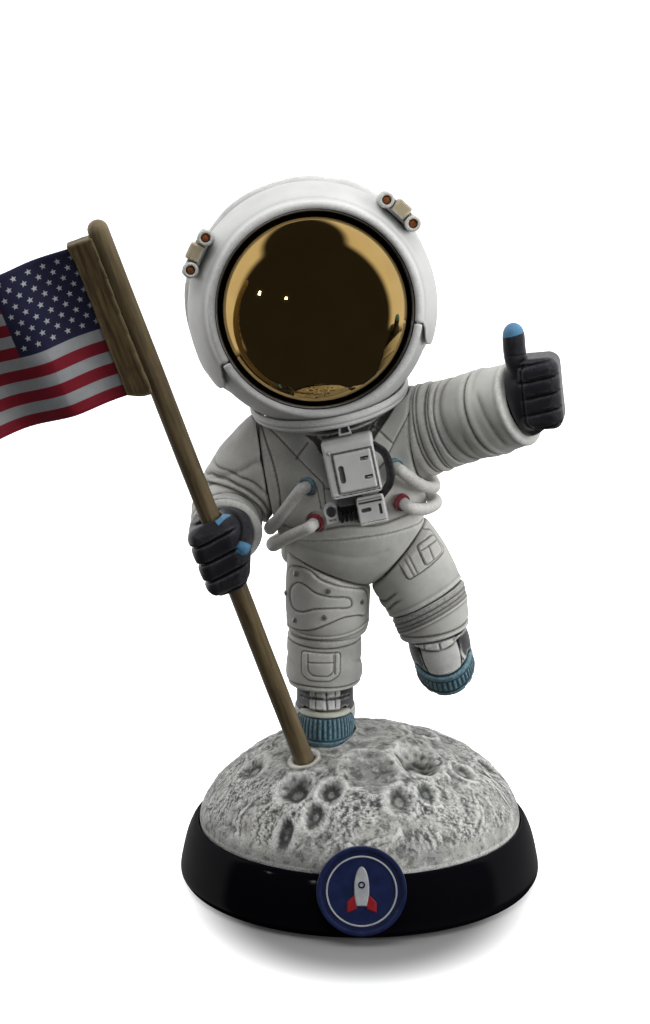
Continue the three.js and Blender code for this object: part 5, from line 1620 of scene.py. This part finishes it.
def upper_arm_left_detail(r):
    q = ARM_L.local(r.points)
    turn = np.arctan2(q[:, 0], -q[:, 1])
    across = q[:, 2] - 0.8 * np.cos(turn + 0.5)
    for at, depth in ((3.4, 0.28), (4.3, 0.22), (6.4, 0.34), (7.2, 0.24)):
        r.groove(across - at - 0.10 * np.sin(turn * 3 + at), 0.24, depth, 1.0, 0.75)
    r.lift += 0.3 * np.exp(-(((across - 5.3) / 0.7) ** 2)) + 0.25 * np.exp(-(((across - 2.0) / 0.9) ** 2))


def cuff_left(p):
    q = CUFF_L.local(p)
    end = LENGTH_CUFF_L
    d = limb(q, [(GAP / 2, 10.1), (end * 0.5, 10.0), (end, 9.5)], 0.9) - 0.12 * noise(p, 5, 25)
    return carve(d, rod(q, PALM_PLUG_R + GAP, end - 4, end + 3), 0.3)


def cuff_left_detail(r):
    q = CUFF_L.local(r.points)
    turn = np.arctan2(q[:, 0], -q[:, 1])
    lean = q[:, 2] + 0.7 * np.cos(turn + 0.6)
    r.groove(lean - 9.2, 0.32, 0.4, 1.0, 0.85)
    r.lift += 0.35 * np.exp(-(((lean - 10.3) / 0.9) ** 2)) + 0.2 * np.exp(-(((lean - 8.0) / 0.8) ** 2))
    r.groove(lean - 3.0 - 0.5 * np.sin(turn * 2), 0.9, 0.42, 1.0, 0.25)
    r.groove(lean - 5.8 - 0.7 * np.sin(turn * 2 + 2), 0.8, 0.25, smooth(np.sin(turn * 1.5), -0.2, 0.5), 0.2)
    r.groove(lean - 13.2 - 0.8 * np.sin(turn * 2 + 1), 0.8, 0.28, smooth(np.cos(turn * 2), -0.3, 0.4), 0.2)
    r.lift += 0.22 * np.exp(-(((q[:, 2] - LENGTH_CUFF_L + 0.7) / 0.6) ** 2))


FIST_L = Frame((40.6, -16.4, 122.7), (-0.12, 0, 0.993), (-0.15, -1, 0))
THUMB = [(37.4, -16.2, 123.5), (35.6, -16.6, 127.4), (34.4, -16.6, 131.2), (34.0, -16.3, 136.0)]


def hand_left(p):
    palm = egg(p, (37.6, -14.2, 121.0), (6.6, 6.4, 9.4))
    q = FIST_L.local(p)
    fist = block(q, (4.6, 5.4, 8.3), 2.6)
    knuckles = smooth(-q[:, 1], 2.0, 3.6)
    step = np.abs(np.sin((q[:, 2] - 0.15 * q[:, 0] + 7.6) * math.pi / 3.75))
    folded = 0.5 * np.exp(-((step / 0.25) ** 2)) - 0.15 * step
    fist = fist + folded * knuckles * smooth(np.abs(q[:, 2]), 8.2, 6.8)
    d = join(palm, fist, 0.9)
    d = common(d, GAP + 0.1 - beyond(p, WRIST_L, WRIST_L - ELBOW_L), 0.5)
    d = join(d, rod(Frame(WRIST_L, WRIST_L - ELBOW_L).local(p), 6.1, -3.7, 3, 0.3), 0.4)
    line = curved(THUMB, parts=5)
    for a, b in zip(line[:-1], line[1:]):
        d = join(d, capsule(p, a, b, 2.25), 0.8)
    return d - 0.03 * noise(p, 2.0, 27)


def hand_left_detail(r):
    x, _, z = r.points.T
    r.tint = smooth(z - 0.28 * (x - 34), 135.6, 135.8)
    q = FIST_L.local(r.points)
    front = smooth(-(r.normals @ FIST_L.axes.T)[:, 1], 0.0, 0.4)
    edge = block(q * (1, 0, 1), (3.9, 9, 7.6), 2.4)
    r.groove(edge, 0.3, 0.3, smooth(-q[:, 0], 1.5, 3.0) * smooth(-q[:, 1], 1, 3), 0.8)
    fingers = front * smooth(3.4 - np.abs(q[:, 0]), 0, 1.0)
    for crease in (4.2, 0.4, -3.3):
        r.groove(q[:, 2] - crease - 0.15 * q[:, 0], 0.2, 0.15, fingers, 0.9)
    ring = np.abs(beyond(r.points, THUMB[2], np.array(THUMB[3]) - THUMB[2]))
    r.groove(ring, 0.2, 0.08, smooth(z, 128, 130), 0.4)


def upper_arm_right(p):
    d = egg(p, (-22.4, 0.4, 101.4), (8.4, 9.8, 12.6))
    low, high = vec(-30.4, 2.4, 91), vec(-22, 0, 105)
    q = Frame(low, high - low).local(p)
    d = join(d, limb(q, [(0, 8.4), (5, 9.2), (12, 9.4), (17, 8)], 1.5), 2.0) - 0.18 * noise(p, 5.5, 35)
    d = common(d, GAP / 2 - beyond(p, SHOULDER_R, SHOULDER_R_NORMAL), 0.9)
    d = carve(d, rod(CUFF_R.local(p), 8.4 + GAP, -6, LENGTH_CUFF_R + 6, 0.2), 0.7)
    d = carve(d, ball(p, HEAD_CENTRE, HEAD_SWEEP_R), 0.4)
    return carve(d, ring_space(p), 0.3)


def upper_arm_right_detail(r):
    x, y, z = r.points.T
    q = CUFF_R.local(r.points)
    away = np.hypot(q[:, 0], q[:, 1]) - 8.7
    for at, depth in ((1.6, 0.35), (3.6, 0.25)):
        r.groove(away - at - 0.5 * noise(r.points, 4, 8), 0.45, depth, smooth(-y, -4, 2), 0.35)
    r.lift += 0.3 * np.exp(-(((away - 0.6) / 0.5) ** 2))
    r.groove(z - 103 - 0.5 * (x + 26) + 0.8 * noise(r.points, 5, 4), 0.9, 0.3, 1.0, 0.2)
    r.groove(z - 98 - 0.7 * (x + 26), 0.8, 0.28, smooth(y, -2, 3), 0.3)


def cuff_right(p):
    q = CUFF_R.local(p)
    end = LENGTH_CUFF_R
    hem = [(end - 2.4, 8.1), (end - 1, 8.3), (end, 8.1)]
    d = limb(q, [(-5, 6.8), (-2, 7.8), (1, 8.2), (end * 0.5, 8.35), *hem], 1.2)
    return carve(d, rod(q, PALM_PLUG_R + GAP, end - 3, end + 3), 0.5) - 0.08 * noise(p, 4, 37)


def cuff_right_detail(r):
    q = CUFF_R.local(r.points)
    turn = np.arctan2(q[:, 0], q[:, 1])
    end = LENGTH_CUFF_R
    rings = ((end - 2.7, 0.4, 0.4), (end - 5.2, 0.6, 0.3), (5.2, 0.9, 0.4), (2.0, 0.8, 0.35))
    for at, width, depth in rings:
        r.groove(q[:, 2] - at - 0.4 * np.sin(turn * 2 + at), width, depth, 1.0, 0.35)
    r.lift += 0.16 * np.exp(-(((q[:, 2] - end + 1.2) / 0.7) ** 2))


GRIP_HEIGHT = 85.6  # middle of the fist on the pole, 0.2 higher than in the CAD
GRIP = (GRIP_HEIGHT - POLE_FOOT[2]) / POLE.axes[2][2]
THUMB_R = [
    (-32.7, -11.5, 91.4), (-30.1, -14.6, 93.2), (-27.3, -18.0, 92.7), (-26.5, -20.6, 90.4),
    (-27.1, -22.2, 87.8),
]


def hand_right(p):
    q = POLE.local(p) - vec(0, 0, GRIP)
    turn = np.arctan2(q[:, 0], -q[:, 1])
    right = np.clip(3.3 + 0.42 * (q[:, 2] + 8.5), 3.0, 6.3)
    half = (right + 6.3) / 2
    shaped = np.stack([(q[:, 0] - (right - 6.3) / 2) * 6.2 / half, q[:, 1] - 0.5, q[:, 2] + 0.3], 1)
    d = block(shaped, (6.2, 6.2, 8.9), 3.6)
    folds = np.abs(np.sin((q[:, 2] - 0.9 * turn + 8.0) * math.pi / 4.4))
    wraps = smooth(q[:, 1], 3.0, -1) * smooth(np.abs(q[:, 2]), 9.4, 7.6) * smooth(q[:, 0], 5.5, 3.0)
    d = d + 0.75 * np.exp(-((folds / 0.22) ** 2)) * wraps - 0.2 * wraps * folds
    wrist = rod(CUFF_R.local(p), PALM_PLUG_R, LENGTH_CUFF_R - 2.7, LENGTH_CUFF_R + 4, 0.4)
    cleared = common(d, GAP + 0.1 - beyond(p, WRIST_R, WRIST_R - ELBOW_R), 0.4)
    d = join(cleared, wrist, 0.6)
    line = curved(THUMB_R, parts=4)
    thumb = np.full(len(p), 1e9)
    for a, b in zip(line[:-1], line[1:]):
        thumb = join(thumb, capsule(p, a, b, 1.9), 0.4)
    d = join(d, thumb, 0.3)
    return carve(d, rod(POLE.local(p), POLE_R + GAP, -10, 90), 0.15) - 0.03 * noise(p, 2.2, 45)


def hand_right_detail(r):
    tip = np.array(THUMB_R[-1])
    r.tint = 1 - smooth(length(r.points - tip), 2.05, 2.2)
    q = POLE.local(r.points) - vec(0, 0, GRIP)
    turn = np.arctan2(q[:, 0], -q[:, 1])
    away = np.hypot(q[:, 0], q[:, 1])
    rim = smooth(q[:, 2], 4.6, 4.9) * smooth(away, 3.0, 3.2) * smooth(away, 5.1, 4.8)
    r.tint = np.maximum(r.tint, smooth(turn, 0.3, 0.4) * smooth(turn, 1.5, 1.3) * rim)


def make_arms():
    sculpt("upper_arm_left_suit", "arm_left", "suit", suit_paint, upper_arm_left,
           ((8, -17, 98), (33, 13, 125)), 0.45, upper_arm_left_detail, ["upper_arm_left"])
    sculpt("cuff_left_suit", "arm_left", "suit", suit_paint, cuff_left, ((15, -25, 101), (44, 8, 132)), 0.45,
           cuff_left_detail, ["cuff_left"])
    sculpt("glove_left_hand", "hand_left", "glove", glove_paint, hand_left, ((27, -27, 108), (50, -4, 142)),
           0.4, hand_left_detail, ["glove_left"])
    sculpt("upper_arm_right_suit", "base", "suit", suit_paint, upper_arm_right,
           ((-42, -13, 82), (-19, 15, 117)), 0.45, upper_arm_right_detail, ["upper_arm_right"])
    sculpt("cuff_right_suit", "base", "suit", suit_paint, cuff_right, ((-43, -15, 76), (-20, 13, 104)), 0.42,
           cuff_right_detail, ["cuff_right"])
    sculpt("glove_right_hand", "base", "glove", glove_paint, hand_right, ((-44, -30, 72), (-19, -4, 101)),
           0.4, hand_right_detail, ["glove_right"])


# ------------------------------------------------------------------ head
# Its z is forwards through the visor, and its x to the figure's right.
FACING = Frame(HEAD_CENTRE, -HEAD.axes[1], HEAD.axes[2])


def head_parts(p):
    """Distance forwards, and sideways and upwards from the head's centre."""
    q = HEAD.local(p)
    return q[:, 0], -q[:, 1], q[:, 2]


def shell_field(p):
    q = p - HEAD_CENTRE
    away = length(q)
    _, ahead, up = head_parts(p)
    down = np.degrees(np.arccos(np.clip(-(q @ NECK_AXIS) / np.maximum(away, 1e-6), -1, 1)))
    free = smooth(down, 50, 70) * smooth(-ahead, 0.3, 2.2)
    fold = rough(q * (1, 1, 0.7), 8.0, 2, 91, 0.4)
    outer = HELMET_R + free * (1.7 + 0.9 * smooth(up, 0, 20) + 0.6 * fold)
    d = np.maximum(away - outer, HELMET_R - 2 - away)
    d = common(d, ahead - 15.2, 0.5)
    return carve(d, rod(NECK.local(p), 9.8, -40, -10), 0.3)


def shell_detail(r):
    side, ahead, up = head_parts(r.points)
    turn = np.arctan2(side, up)
    outward = smooth(length(r.points - HEAD_CENTRE), HELMET_R - 0.8, HELMET_R - 0.4) * smooth(-ahead, 0, 2)
    for at, bend in ((-5.5, 5), (-12, 4), (-19, 3)):
        r.groove(ahead - at + 0.5 * np.sin(turn * bend + at), 0.5, 0.4, outward, 0.4)
    r.groove(side, 0.4, 0.3, outward * smooth(-ahead, 5.2, 5.8), 0.5)


def bezel(p, back, wall=0.55):
    """The band round the visor: a thin spherical skin with a rounded bead at the opening."""
    side, ahead, up = head_parts(p)
    away = length(p - HEAD_CENTRE)
    across = np.hypot(side, up)
    crease = 0.2 * np.exp(-(((across - 24.8) / 0.55) ** 2)) * smooth(ahead, 10, 12)
    skin = np.abs(away - HOOD_R + wall + crease / 2) - wall + crease / 2
    skin = np.maximum(skin, back - ahead)
    skin = common(skin, ahead - 15.9, 0.6)
    bead = np.hypot(across - 23.25, ahead - VISOR_RIM - 0.05) - 1.0
    return join(skin, bead, 0.5)


def tab_line(side, up):
    """Signed distance past the line between hood and chin guard, growing downwards."""
    across = np.hypot(side, up)
    below = np.degrees(np.arctan2(-up, np.abs(side)))
    line = 19.5 + 10.5 * smooth(across, 24.2, 26.8)
    return np.radians(below - line) * across


def hood_field(p):
    side, ahead, up = head_parts(p)
    d = bezel(p, -40)
    edge = tab_line(side, up) + GAP / 2
    back = -ahead - 0.2
    return common(d, common(edge, back, 6.0), 0.6)


def chin_field(p):
    side, ahead, up = head_parts(p)
    below = np.degrees(np.arctan2(-up, np.abs(side)))
    edge = np.radians(19.5 - below) * np.hypot(side, up) + GAP / 2
    inner = p + (p - HEAD_CENTRE) * (0.5 / np.maximum(length(p - HEAD_CENTRE), 1))[:, None] * (
        1 - smooth(ahead, 14.6, 16.0)
    )[:, None]
    return common(bezel(inner, 13.9, 0.5), edge, 0.4)


def make_head():
    box = (HEAD_CENTRE - 31.5, HEAD_CENTRE + 31.5)
    sculpt("helmet_shell_cover", "head", "suit", helmet_paint, shell_field, box, 0.7, shell_detail,
           ["helmet_shell"])
    sculpt("helmet_hood_shell", "head", "suit", helmet_paint, hood_field, box, 0.5, None, ["helmet_hood"],
           broad=0.3)
    sculpt("chin_guard_shell", "head", "suit", helmet_paint, chin_field, box, 0.5, None, ["chin_guard"],
           broad=0.3)
    rim_r = VISOR_RIM_R + 0.75
    centre = VISOR_RIM - math.sqrt(VISOR_R**2 - VISOR_RIM_R**2)
    start = math.asin(rim_r / VISOR_R)
    angles = np.linspace(0, start, 60)
    outer = [(VISOR_R * math.sin(a), centre + VISOR_R * math.cos(a)) for a in angles]
    inner = [((VISOR_R - 1.5) * math.sin(a), centre + (VISOR_R - 1.5) * math.cos(a)) for a in angles[::-4]]
    inner[-1] = (0, inner[-1][1])
    spun("visor_dome", "head", "visor", gold, FACING, (outer + inner)[::-1], 192, False, ["visor"])
    bore = rim_r + 0.05
    back, front = VISOR_RIM - 1.3, VISOR_RIM + 0.6
    outer_r = bore + 0.8
    section = [(bore, back), (outer_r, back + 0.4), (outer_r, front - 0.1), (bore + 0.05, front)]
    gasket = rounded(section, 0.25, 0.3)
    spun("visor_gasket_ring", "head", "gasket", cable_paint, FACING, gasket, 192, nodes=["visor_gasket"])
    make_lamps()


def make_lamps():
    front = 14.2
    for name, sign in (("left", 1), ("right", -1)):
        centres = [(sign * LAMP_RING_R * math.cos(a), LAMP_RING_R * math.sin(a)) for a in LAMP_ANGLES]
        middle = np.mean(centres, 0)
        out = unit((middle[0], 0, middle[1]))
        along = vec(-out[2], 0, out[0])

        def pod(p, centres=centres, out=out, along=along):
            q = HEAD.local(p)
            local = np.stack([q @ along, q @ out, -q[:, 1]], 1)
            d = block(local - vec(0, 29.0, 7.4), (5.6, 1.5, 3.6), 0.7)
            strap = block(local - vec(0, 29.6, 8.6), (1.9, 1.7, 4.2), 0.5)
            d = join(d, strap, 0.15)
            d = carve(d, np.maximum(np.abs(np.abs(local[:, 0]) - 2.3) - 0.12, 30.0 - local[:, 1]), 0.15)
            for cx, cz in centres:
                own = np.stack([q[:, 0] - cx, q[:, 2] - cz, -q[:, 1]], 1)
                barrel = rod(own, 1.75, 3, front - 0.1, 0.45)
                bead = np.hypot(np.hypot(own[:, 0], own[:, 1]) - 1.6, own[:, 2] - front + 2.2) - 0.28
                d = join(d, join(barrel, bead, 0.2), 0.3)
            for cx, cz in centres:
                own = np.stack([q[:, 0] - cx, q[:, 2] - cz, -q[:, 1]], 1)
                d = carve(d, rod(own, 1.05, front - 1.1, front + 4), 0.2)
            return carve(d, ball(p, HEAD_CENTRE, HOOD_R - 0.15), 0.2)

        def pod_detail(r, out=out, along=along):
            q = HEAD.local(r.points)
            local = np.stack([q @ along, q @ out, -q[:, 1]], 1)
            r.tint = (1 - smooth(np.abs(local[:, 0]), 2.1, 2.35)) * smooth(local[:, 1], 28, 28.6)

        mid = HEAD.world([[middle[0], -8, middle[1]]])[0]
        sculpt(f"lamp_pod_{name}_case", "head", "trim", lamp_paint, pod, (mid - 10.5, mid + 10.5), 0.3,
               pod_detail, [f"lamp_pod_{name}"])
        for i, (cx, cz) in enumerate(centres):
            dome = [(0.92, front - 0.75), (0.55, front - 0.4), (0, front - 0.3)]
            lens = rounded([(0, front - 1.2), (0.92, front - 1.2), *dome], 0.15, 0.3, False)
            place = Frame(HEAD.world([[cx, 0, cz]])[0], -HEAD.axes[1], HEAD.axes[2])
            spun(f"lamp_glass_{name}_{i + 1}", "head", "amber", amber, place, lens, 32, False,
                 [f"lamp_lens_{name}_{i + 1}"])


# ------------------------------------------------------------------ flag
def pole_shape(points):
    q = points.copy()
    wobble = 0.05 * noise(q * (1, 1, 0.12), 1.2, 71)
    r = np.maximum(np.hypot(q[:, 0], q[:, 1]), 1e-6)
    scale = 1 + np.where(r > 0.5, wobble / r, 0)
    q[:, 0] *= scale
    q[:, 1] *= scale
    return q, np.zeros(len(q))


def wave(fly, hoist):
    """How far the flag stands out of its plane, for a point along its fly and up its hoist, in mm."""
    slant = fly + 0.22 * (FLAG_HOIST - hoist)
    return 2.1 * np.sin(2 * math.pi * slant / 27) * np.clip(fly / 14, 0, 1) ** 1.3


def make_flag():
    end = POLE_LENGTH
    turns = np.radians([0, 20, 40, 55, 70, 80])
    tip = [(POLE_R * math.cos(a), end - 2.2 + 2.2 * math.sin(a)) for a in turns]
    side = [(POLE_R, z) for z in np.linspace(-4, end - 2.4, 110)]
    stations = [(0, -5), (POLE_R - 0.3, -5), (POLE_R, -4.7), *side, *tip, (0, end)]
    spun("flag_pole_shaft", "flag", "pole", wood, POLE, stations, 72, False, ["flag_pole"], pole_shape)
    low, high = SLEEVE_Z
    middle = (low + high) / 2

    def sleeve(p):
        q = POLE.local(p)
        reach = 6.9 + 0.5 * smooth(q[:, 2], high - 5, high)
        x, y, z = -q[:, 0], q[:, 1], q[:, 2] - middle
        half = (high - low) / 2
        thick = 2.1 - 0.10 * np.clip(x - 2, 0, 6)
        edges = np.maximum(x - reach - 0.35, 0.4 - x)
        d = common(np.maximum(np.abs(y) - thick, edges), np.abs(z) - half, 0.5)
        d = common(d, 0.8 * (-z - half) + 0.35 * (x - 4.0), 0.4)
        d = carve(d, rod(q, POLE_R + 0.06, low - 5, high + 5), 0.4)
        groove = np.maximum(np.abs(y) - 0.75, np.abs(z) - FLAG_HOIST / 2 - 0.25)
        d = carve(d, np.maximum(5.6 - x, groove), 0.15)
        return d - 0.05 * noise(q * (1, 1, 0.2), 1.4, 72)

    corners = POLE.world([[x, y, z] for x in (-9, 1) for y in (-3.5, 3.5) for z in (low - 2, high + 2)])
    sculpt("flag_sleeve_strip", "flag", "pole", wood, sleeve, (corners.min(0), corners.max(0)), 0.42, None,
           ["flag_sleeve"])

    nx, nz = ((220, 150))
    fly = np.linspace(0, FLAG_FLY, nx)
    hoist = np.linspace(0, FLAG_HOIST, nz)
    grid_fly, grid_hoist = (g.ravel() for g in np.meshgrid(fly, hoist, indexing="ij"))

    def sheet(side):
        out = wave(grid_fly, grid_hoist)
        ripple = 0.10 * noise(np.stack([grid_fly, grid_hoist, 0 * grid_fly], 1), 5.0, 81)
        edge = np.minimum(np.minimum(grid_hoist, FLAG_HOIST - grid_hoist), FLAG_FLY - grid_fly)
        half = 0.34 + 0.10 * smooth(edge, 0.0, 0.5) + 0.06 * np.exp(-(((edge - 0.8) / 0.3) ** 2))
        up = grid_hoist + middle - FLAG_HOIST / 2
        return np.stack([-FLAG_START - grid_fly, out + ripple + side * half, up], 1)

    points = np.concatenate([sheet(-1), sheet(1)])
    index = np.arange(nx * nz).reshape(nx, nz)
    cell = np.stack([index[:-1, :-1], index[1:, :-1], index[1:, 1:], index[:-1, 1:]], -1).reshape(-1, 4)
    border = np.concatenate([index[:, 0], index[-1, 1:], index[-2::-1, -1], index[0, -2:0:-1]])
    after = np.roll(border, -1)
    rim = np.stack([border, border + nx * nz, after + nx * nz, after], 1)
    faces = np.concatenate([cell[:, ::-1], cell + nx * nz, rim[:, ::-1]])
    wash, worn = hollows(points, faces, 0.06, 0.4)
    build("flag_cloth", "flag", "flag_print", print_cloth, POLE.world(points), faces, ["flag"], wash=wash,
          worn=worn, fly=np.tile(grid_fly, 2), hoist=np.tile(grid_hoist, 2) / FLAG_HOIST)
    make_stars(middle)


def make_stars(middle):
    """Fifty small raised stars in eleven staggered columns, on both faces."""
    size, inner, raised = 0.78, 0.33, 0.07
    angles = math.pi / 2 + np.arange(10) * math.pi / 5
    radii = np.where(np.arange(10) % 2 == 0, size, inner)
    star = np.stack([radii * np.cos(angles), radii * np.sin(angles)], 1)
    height = FLAG_HOIST * CANTON_STRIPES / STRIPES
    points, tris, quads = [], [], []
    for column in range(11):
        for row in range(9):
            if (row + column) % 2:
                continue
            u0 = CANTON_WIDTH * (column + 1) / 12
            v0 = FLAG_HOIST - height * (row + 1) / 10
            for side in (-1, 1):
                start = sum(len(p) for p in points)
                u = np.append(u0 + star[:, 0], u0)
                v = np.append(v0 + star[:, 1], v0)
                ripple = 0.10 * noise(np.stack([u, v, 0 * u], 1), 5.0, 81)
                out = wave(u, v) + ripple
                up = v + middle - FLAG_HOIST / 2
                for lift in (0.40, 0.44 + raised):
                    points.append(np.stack([-FLAG_START - u, out + side * lift, up], 1))
                ring = np.arange(10)
                turn = np.roll(ring, -1)
                top = np.stack([11 + ring, 11 + turn, np.full(10, 21)], 1)
                bottom = np.stack([turn, ring, np.full(10, 10)], 1)
                wall = np.stack([ring, turn, 11 + turn, 11 + ring], 1)
                if side < 0:
                    tris += [start + top, start + bottom]
                    quads.append(start + wall)
                else:
                    tris += [start + top[:, ::-1], start + bottom[:, ::-1]]
                    quads.append(start + wall[:, ::-1])
    points = np.concatenate(points)
    zero = np.zeros(len(points))
    faces = [np.concatenate(quads), np.concatenate(tris)]
    made = build("flag_stars", "flag", "flag_print", badge_white, POLE.world(points), faces, wash=zero,
                 worn=zero)
    made.data.polygons.foreach_set("use_smooth", np.zeros(len(made.data.polygons), bool))


# ------------------------------------------------------------------ carried-over CAD nodes
def dress_cad_nodes():
    """Materials for the nodes that stay as they are, mostly inside or underneath."""
    finishes = {
        "base_plate": black, "base_pad": foam, "foot_pin": steel_paint, "neck_post": steel_paint,
        "neck_socket": steel_paint, "shoulder_peg_left": steel_paint, "hip_peg": steel_paint,
        **{f"base_screw_{i}": steel_paint for i in (1, 2, 3)},
    }
    for name, material in finishes.items():
        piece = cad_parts[name]
        piece.data.materials.clear()
        piece.data.materials.append(material)


# ------------------------------------------------------------------ stage, lights and camera
def make_stage():
    """A white floor that glows white far off, with a painted shadow near the figure, where it is darker and
    glows less.
    """
    size = 3.0
    bpy.ops.mesh.primitive_plane_add(size=size * 2)
    floor = bpy.context.object
    floor.name = "studio_floor_painted_shadow"
    n = Nodes("studio_floor_painted_shadow")
    # Painted shadow: within a few centimetres of the figure, most in front of it, the floor is darker and
    # glows less.
    place = n.add("ShaderNodeMapping")
    place.inputs["Location"].default_value = (0, 0.016, 0)
    place.inputs["Scale"].default_value = (1.35, 1, 1)
    n.link(n.coords, place.inputs["Vector"])
    away = n.add("ShaderNodeVectorMath", operation="LENGTH")
    n.link(place.outputs[0], away.inputs[0])
    far = n.steps(away.outputs["Value"], 0.036, 0.068)
    colour = n.mix(far, (0.22, 0.22, 0.22), (0.82, 0.82, 0.82))
    n.link(n.scaled(far, 0.02, 1.0), n.shader.inputs["Emission Strength"])
    n.shader.inputs["Emission Color"].default_value = (1, 1, 1, 1)
    floor.data.materials.append(n.done(colour, 0.9))
    floor.visible_glossy = False
    floor.visible_diffuse = False


def area_light(name, place, aim, size, power, in_reflections=False):
    light = bpy.data.lights.new(name, "AREA")
    light.shape = "RECTANGLE"
    light.size, light.size_y = size
    light.energy = power
    made = bpy.data.objects.new(name, light)
    bpy.context.scene.collection.objects.link(made)
    made.location = place
    direction = Vector(aim) - Vector(place)
    made.rotation_euler = direction.to_track_quat("-Z", "Y").to_euler()
    made.visible_glossy = in_reflections
    made.visible_camera = False
    return made


def make_lights():
    """A light tent: bright behind and at the sides, dim in front, with soft lights above."""
    world = bpy.data.worlds.new("tent")
    bpy.context.scene.world = world
    world.use_nodes = True
    tree = world.node_tree
    background = tree.nodes["Background"]
    output = tree.nodes["World Output"]
    coords = tree.nodes.new("ShaderNodeTexCoord")
    split_xyz = tree.nodes.new("ShaderNodeSeparateXYZ")
    tree.links.new(coords.outputs["Generated"], split_xyz.inputs[0])

    def steps(value, low, high, start, end):
        node = tree.nodes.new("ShaderNodeMapRange")
        node.interpolation_type = "SMOOTHSTEP"
        tree.links.new(value, node.inputs["Value"])
        for key, number in {"From Min": low, "From Max": high, "To Min": start, "To Max": end}.items():
            node.inputs[key].default_value = number
        return node.outputs["Result"]

    def maths(operation, a, b):
        node = tree.nodes.new("ShaderNodeMath")
        node.operation = operation
        for socket, value in zip(node.inputs, (a, b)):
            if isinstance(value, float):
                socket.default_value = value
            else:
                tree.links.new(value, socket)
        return node.outputs[0]

    def mixed(kind, first, second):
        node = tree.nodes.new("ShaderNodeMixShader")
        tree.links.new(path.outputs[kind], node.inputs[0])
        tree.links.new(first, node.inputs[1])
        tree.links.new(second, node.inputs[2])
        return node.outputs[0]

    across, ahead, up = split_xyz.outputs
    tree.links.new(steps(ahead, -0.02, 0.14, 0.035, 1.15), background.inputs["Strength"])
    background.inputs["Color"].default_value = (1, 1, 1, 1)
    panels = tree.nodes.new("ShaderNodeBackground")
    tilted = maths("SUBTRACT", maths("SUBTRACT", up, 0.2), maths("MULTIPLY", across, 0.15))
    height = maths("ABSOLUTE", tilted, 0.0)
    band = maths("MULTIPLY", steps(ahead, -0.02, 0.16, 0.0, 1.0), steps(height, 0.56, 0.66, 1.0, 0.0))
    tree.links.new(maths("ADD", maths("MULTIPLY", band, 1.1), 0.03), panels.inputs["Strength"])
    plain = tree.nodes.new("ShaderNodeBackground")
    plain.inputs["Strength"].default_value = 1.05
    plain.inputs["Color"].default_value = (1, 1, 1, 1)
    path = tree.nodes.new("ShaderNodeLightPath")
    seen = mixed("Is Glossy Ray", background.outputs[0], panels.outputs[0])
    tree.links.new(mixed("Is Camera Ray", seen, plain.outputs[0]), output.inputs["Surface"])
    middle = (0, 0, 0.09)
    area_light("top_soft", (-0.1, -0.12, 0.75), (0, 0, 0.1), (0.7, 0.6), 4.4)
    area_light("front_fill", (0.35, -0.9, 0.30), middle, (0.6, 0.5), 1.5)
    area_light("right_soft", (0.75, -0.30, 0.25), middle, (0.4, 0.6), 5.0)
    area_light("left_spark", (-0.73, -0.35, 0.40), middle, (0.035, 0.05), 0.15, True)
    area_light("right_spark", (-0.40, -0.65, 0.40), middle, (0.03, 0.03), 0.1, True)


def make_camera():
    data = bpy.data.cameras.new("camera")
    data.sensor_width = 36
    data.lens = 106.5
    data.clip_start = 0.05
    camera = bpy.data.objects.new("camera", data)
    bpy.context.scene.collection.objects.link(camera)
    camera.location = (-0.0083, -0.684, 0.272)
    camera.rotation_euler = (math.radians(75.1), 0, 0)
    bpy.context.scene.camera = camera


make_camera()
make_lights()
make_stage()
make_base()
make_boots()
make_legs()
make_torso()
make_arms()
make_head()
make_flag()
dress_cad_nodes()
bpy.context.scene.view_settings.view_transform = "Standard"
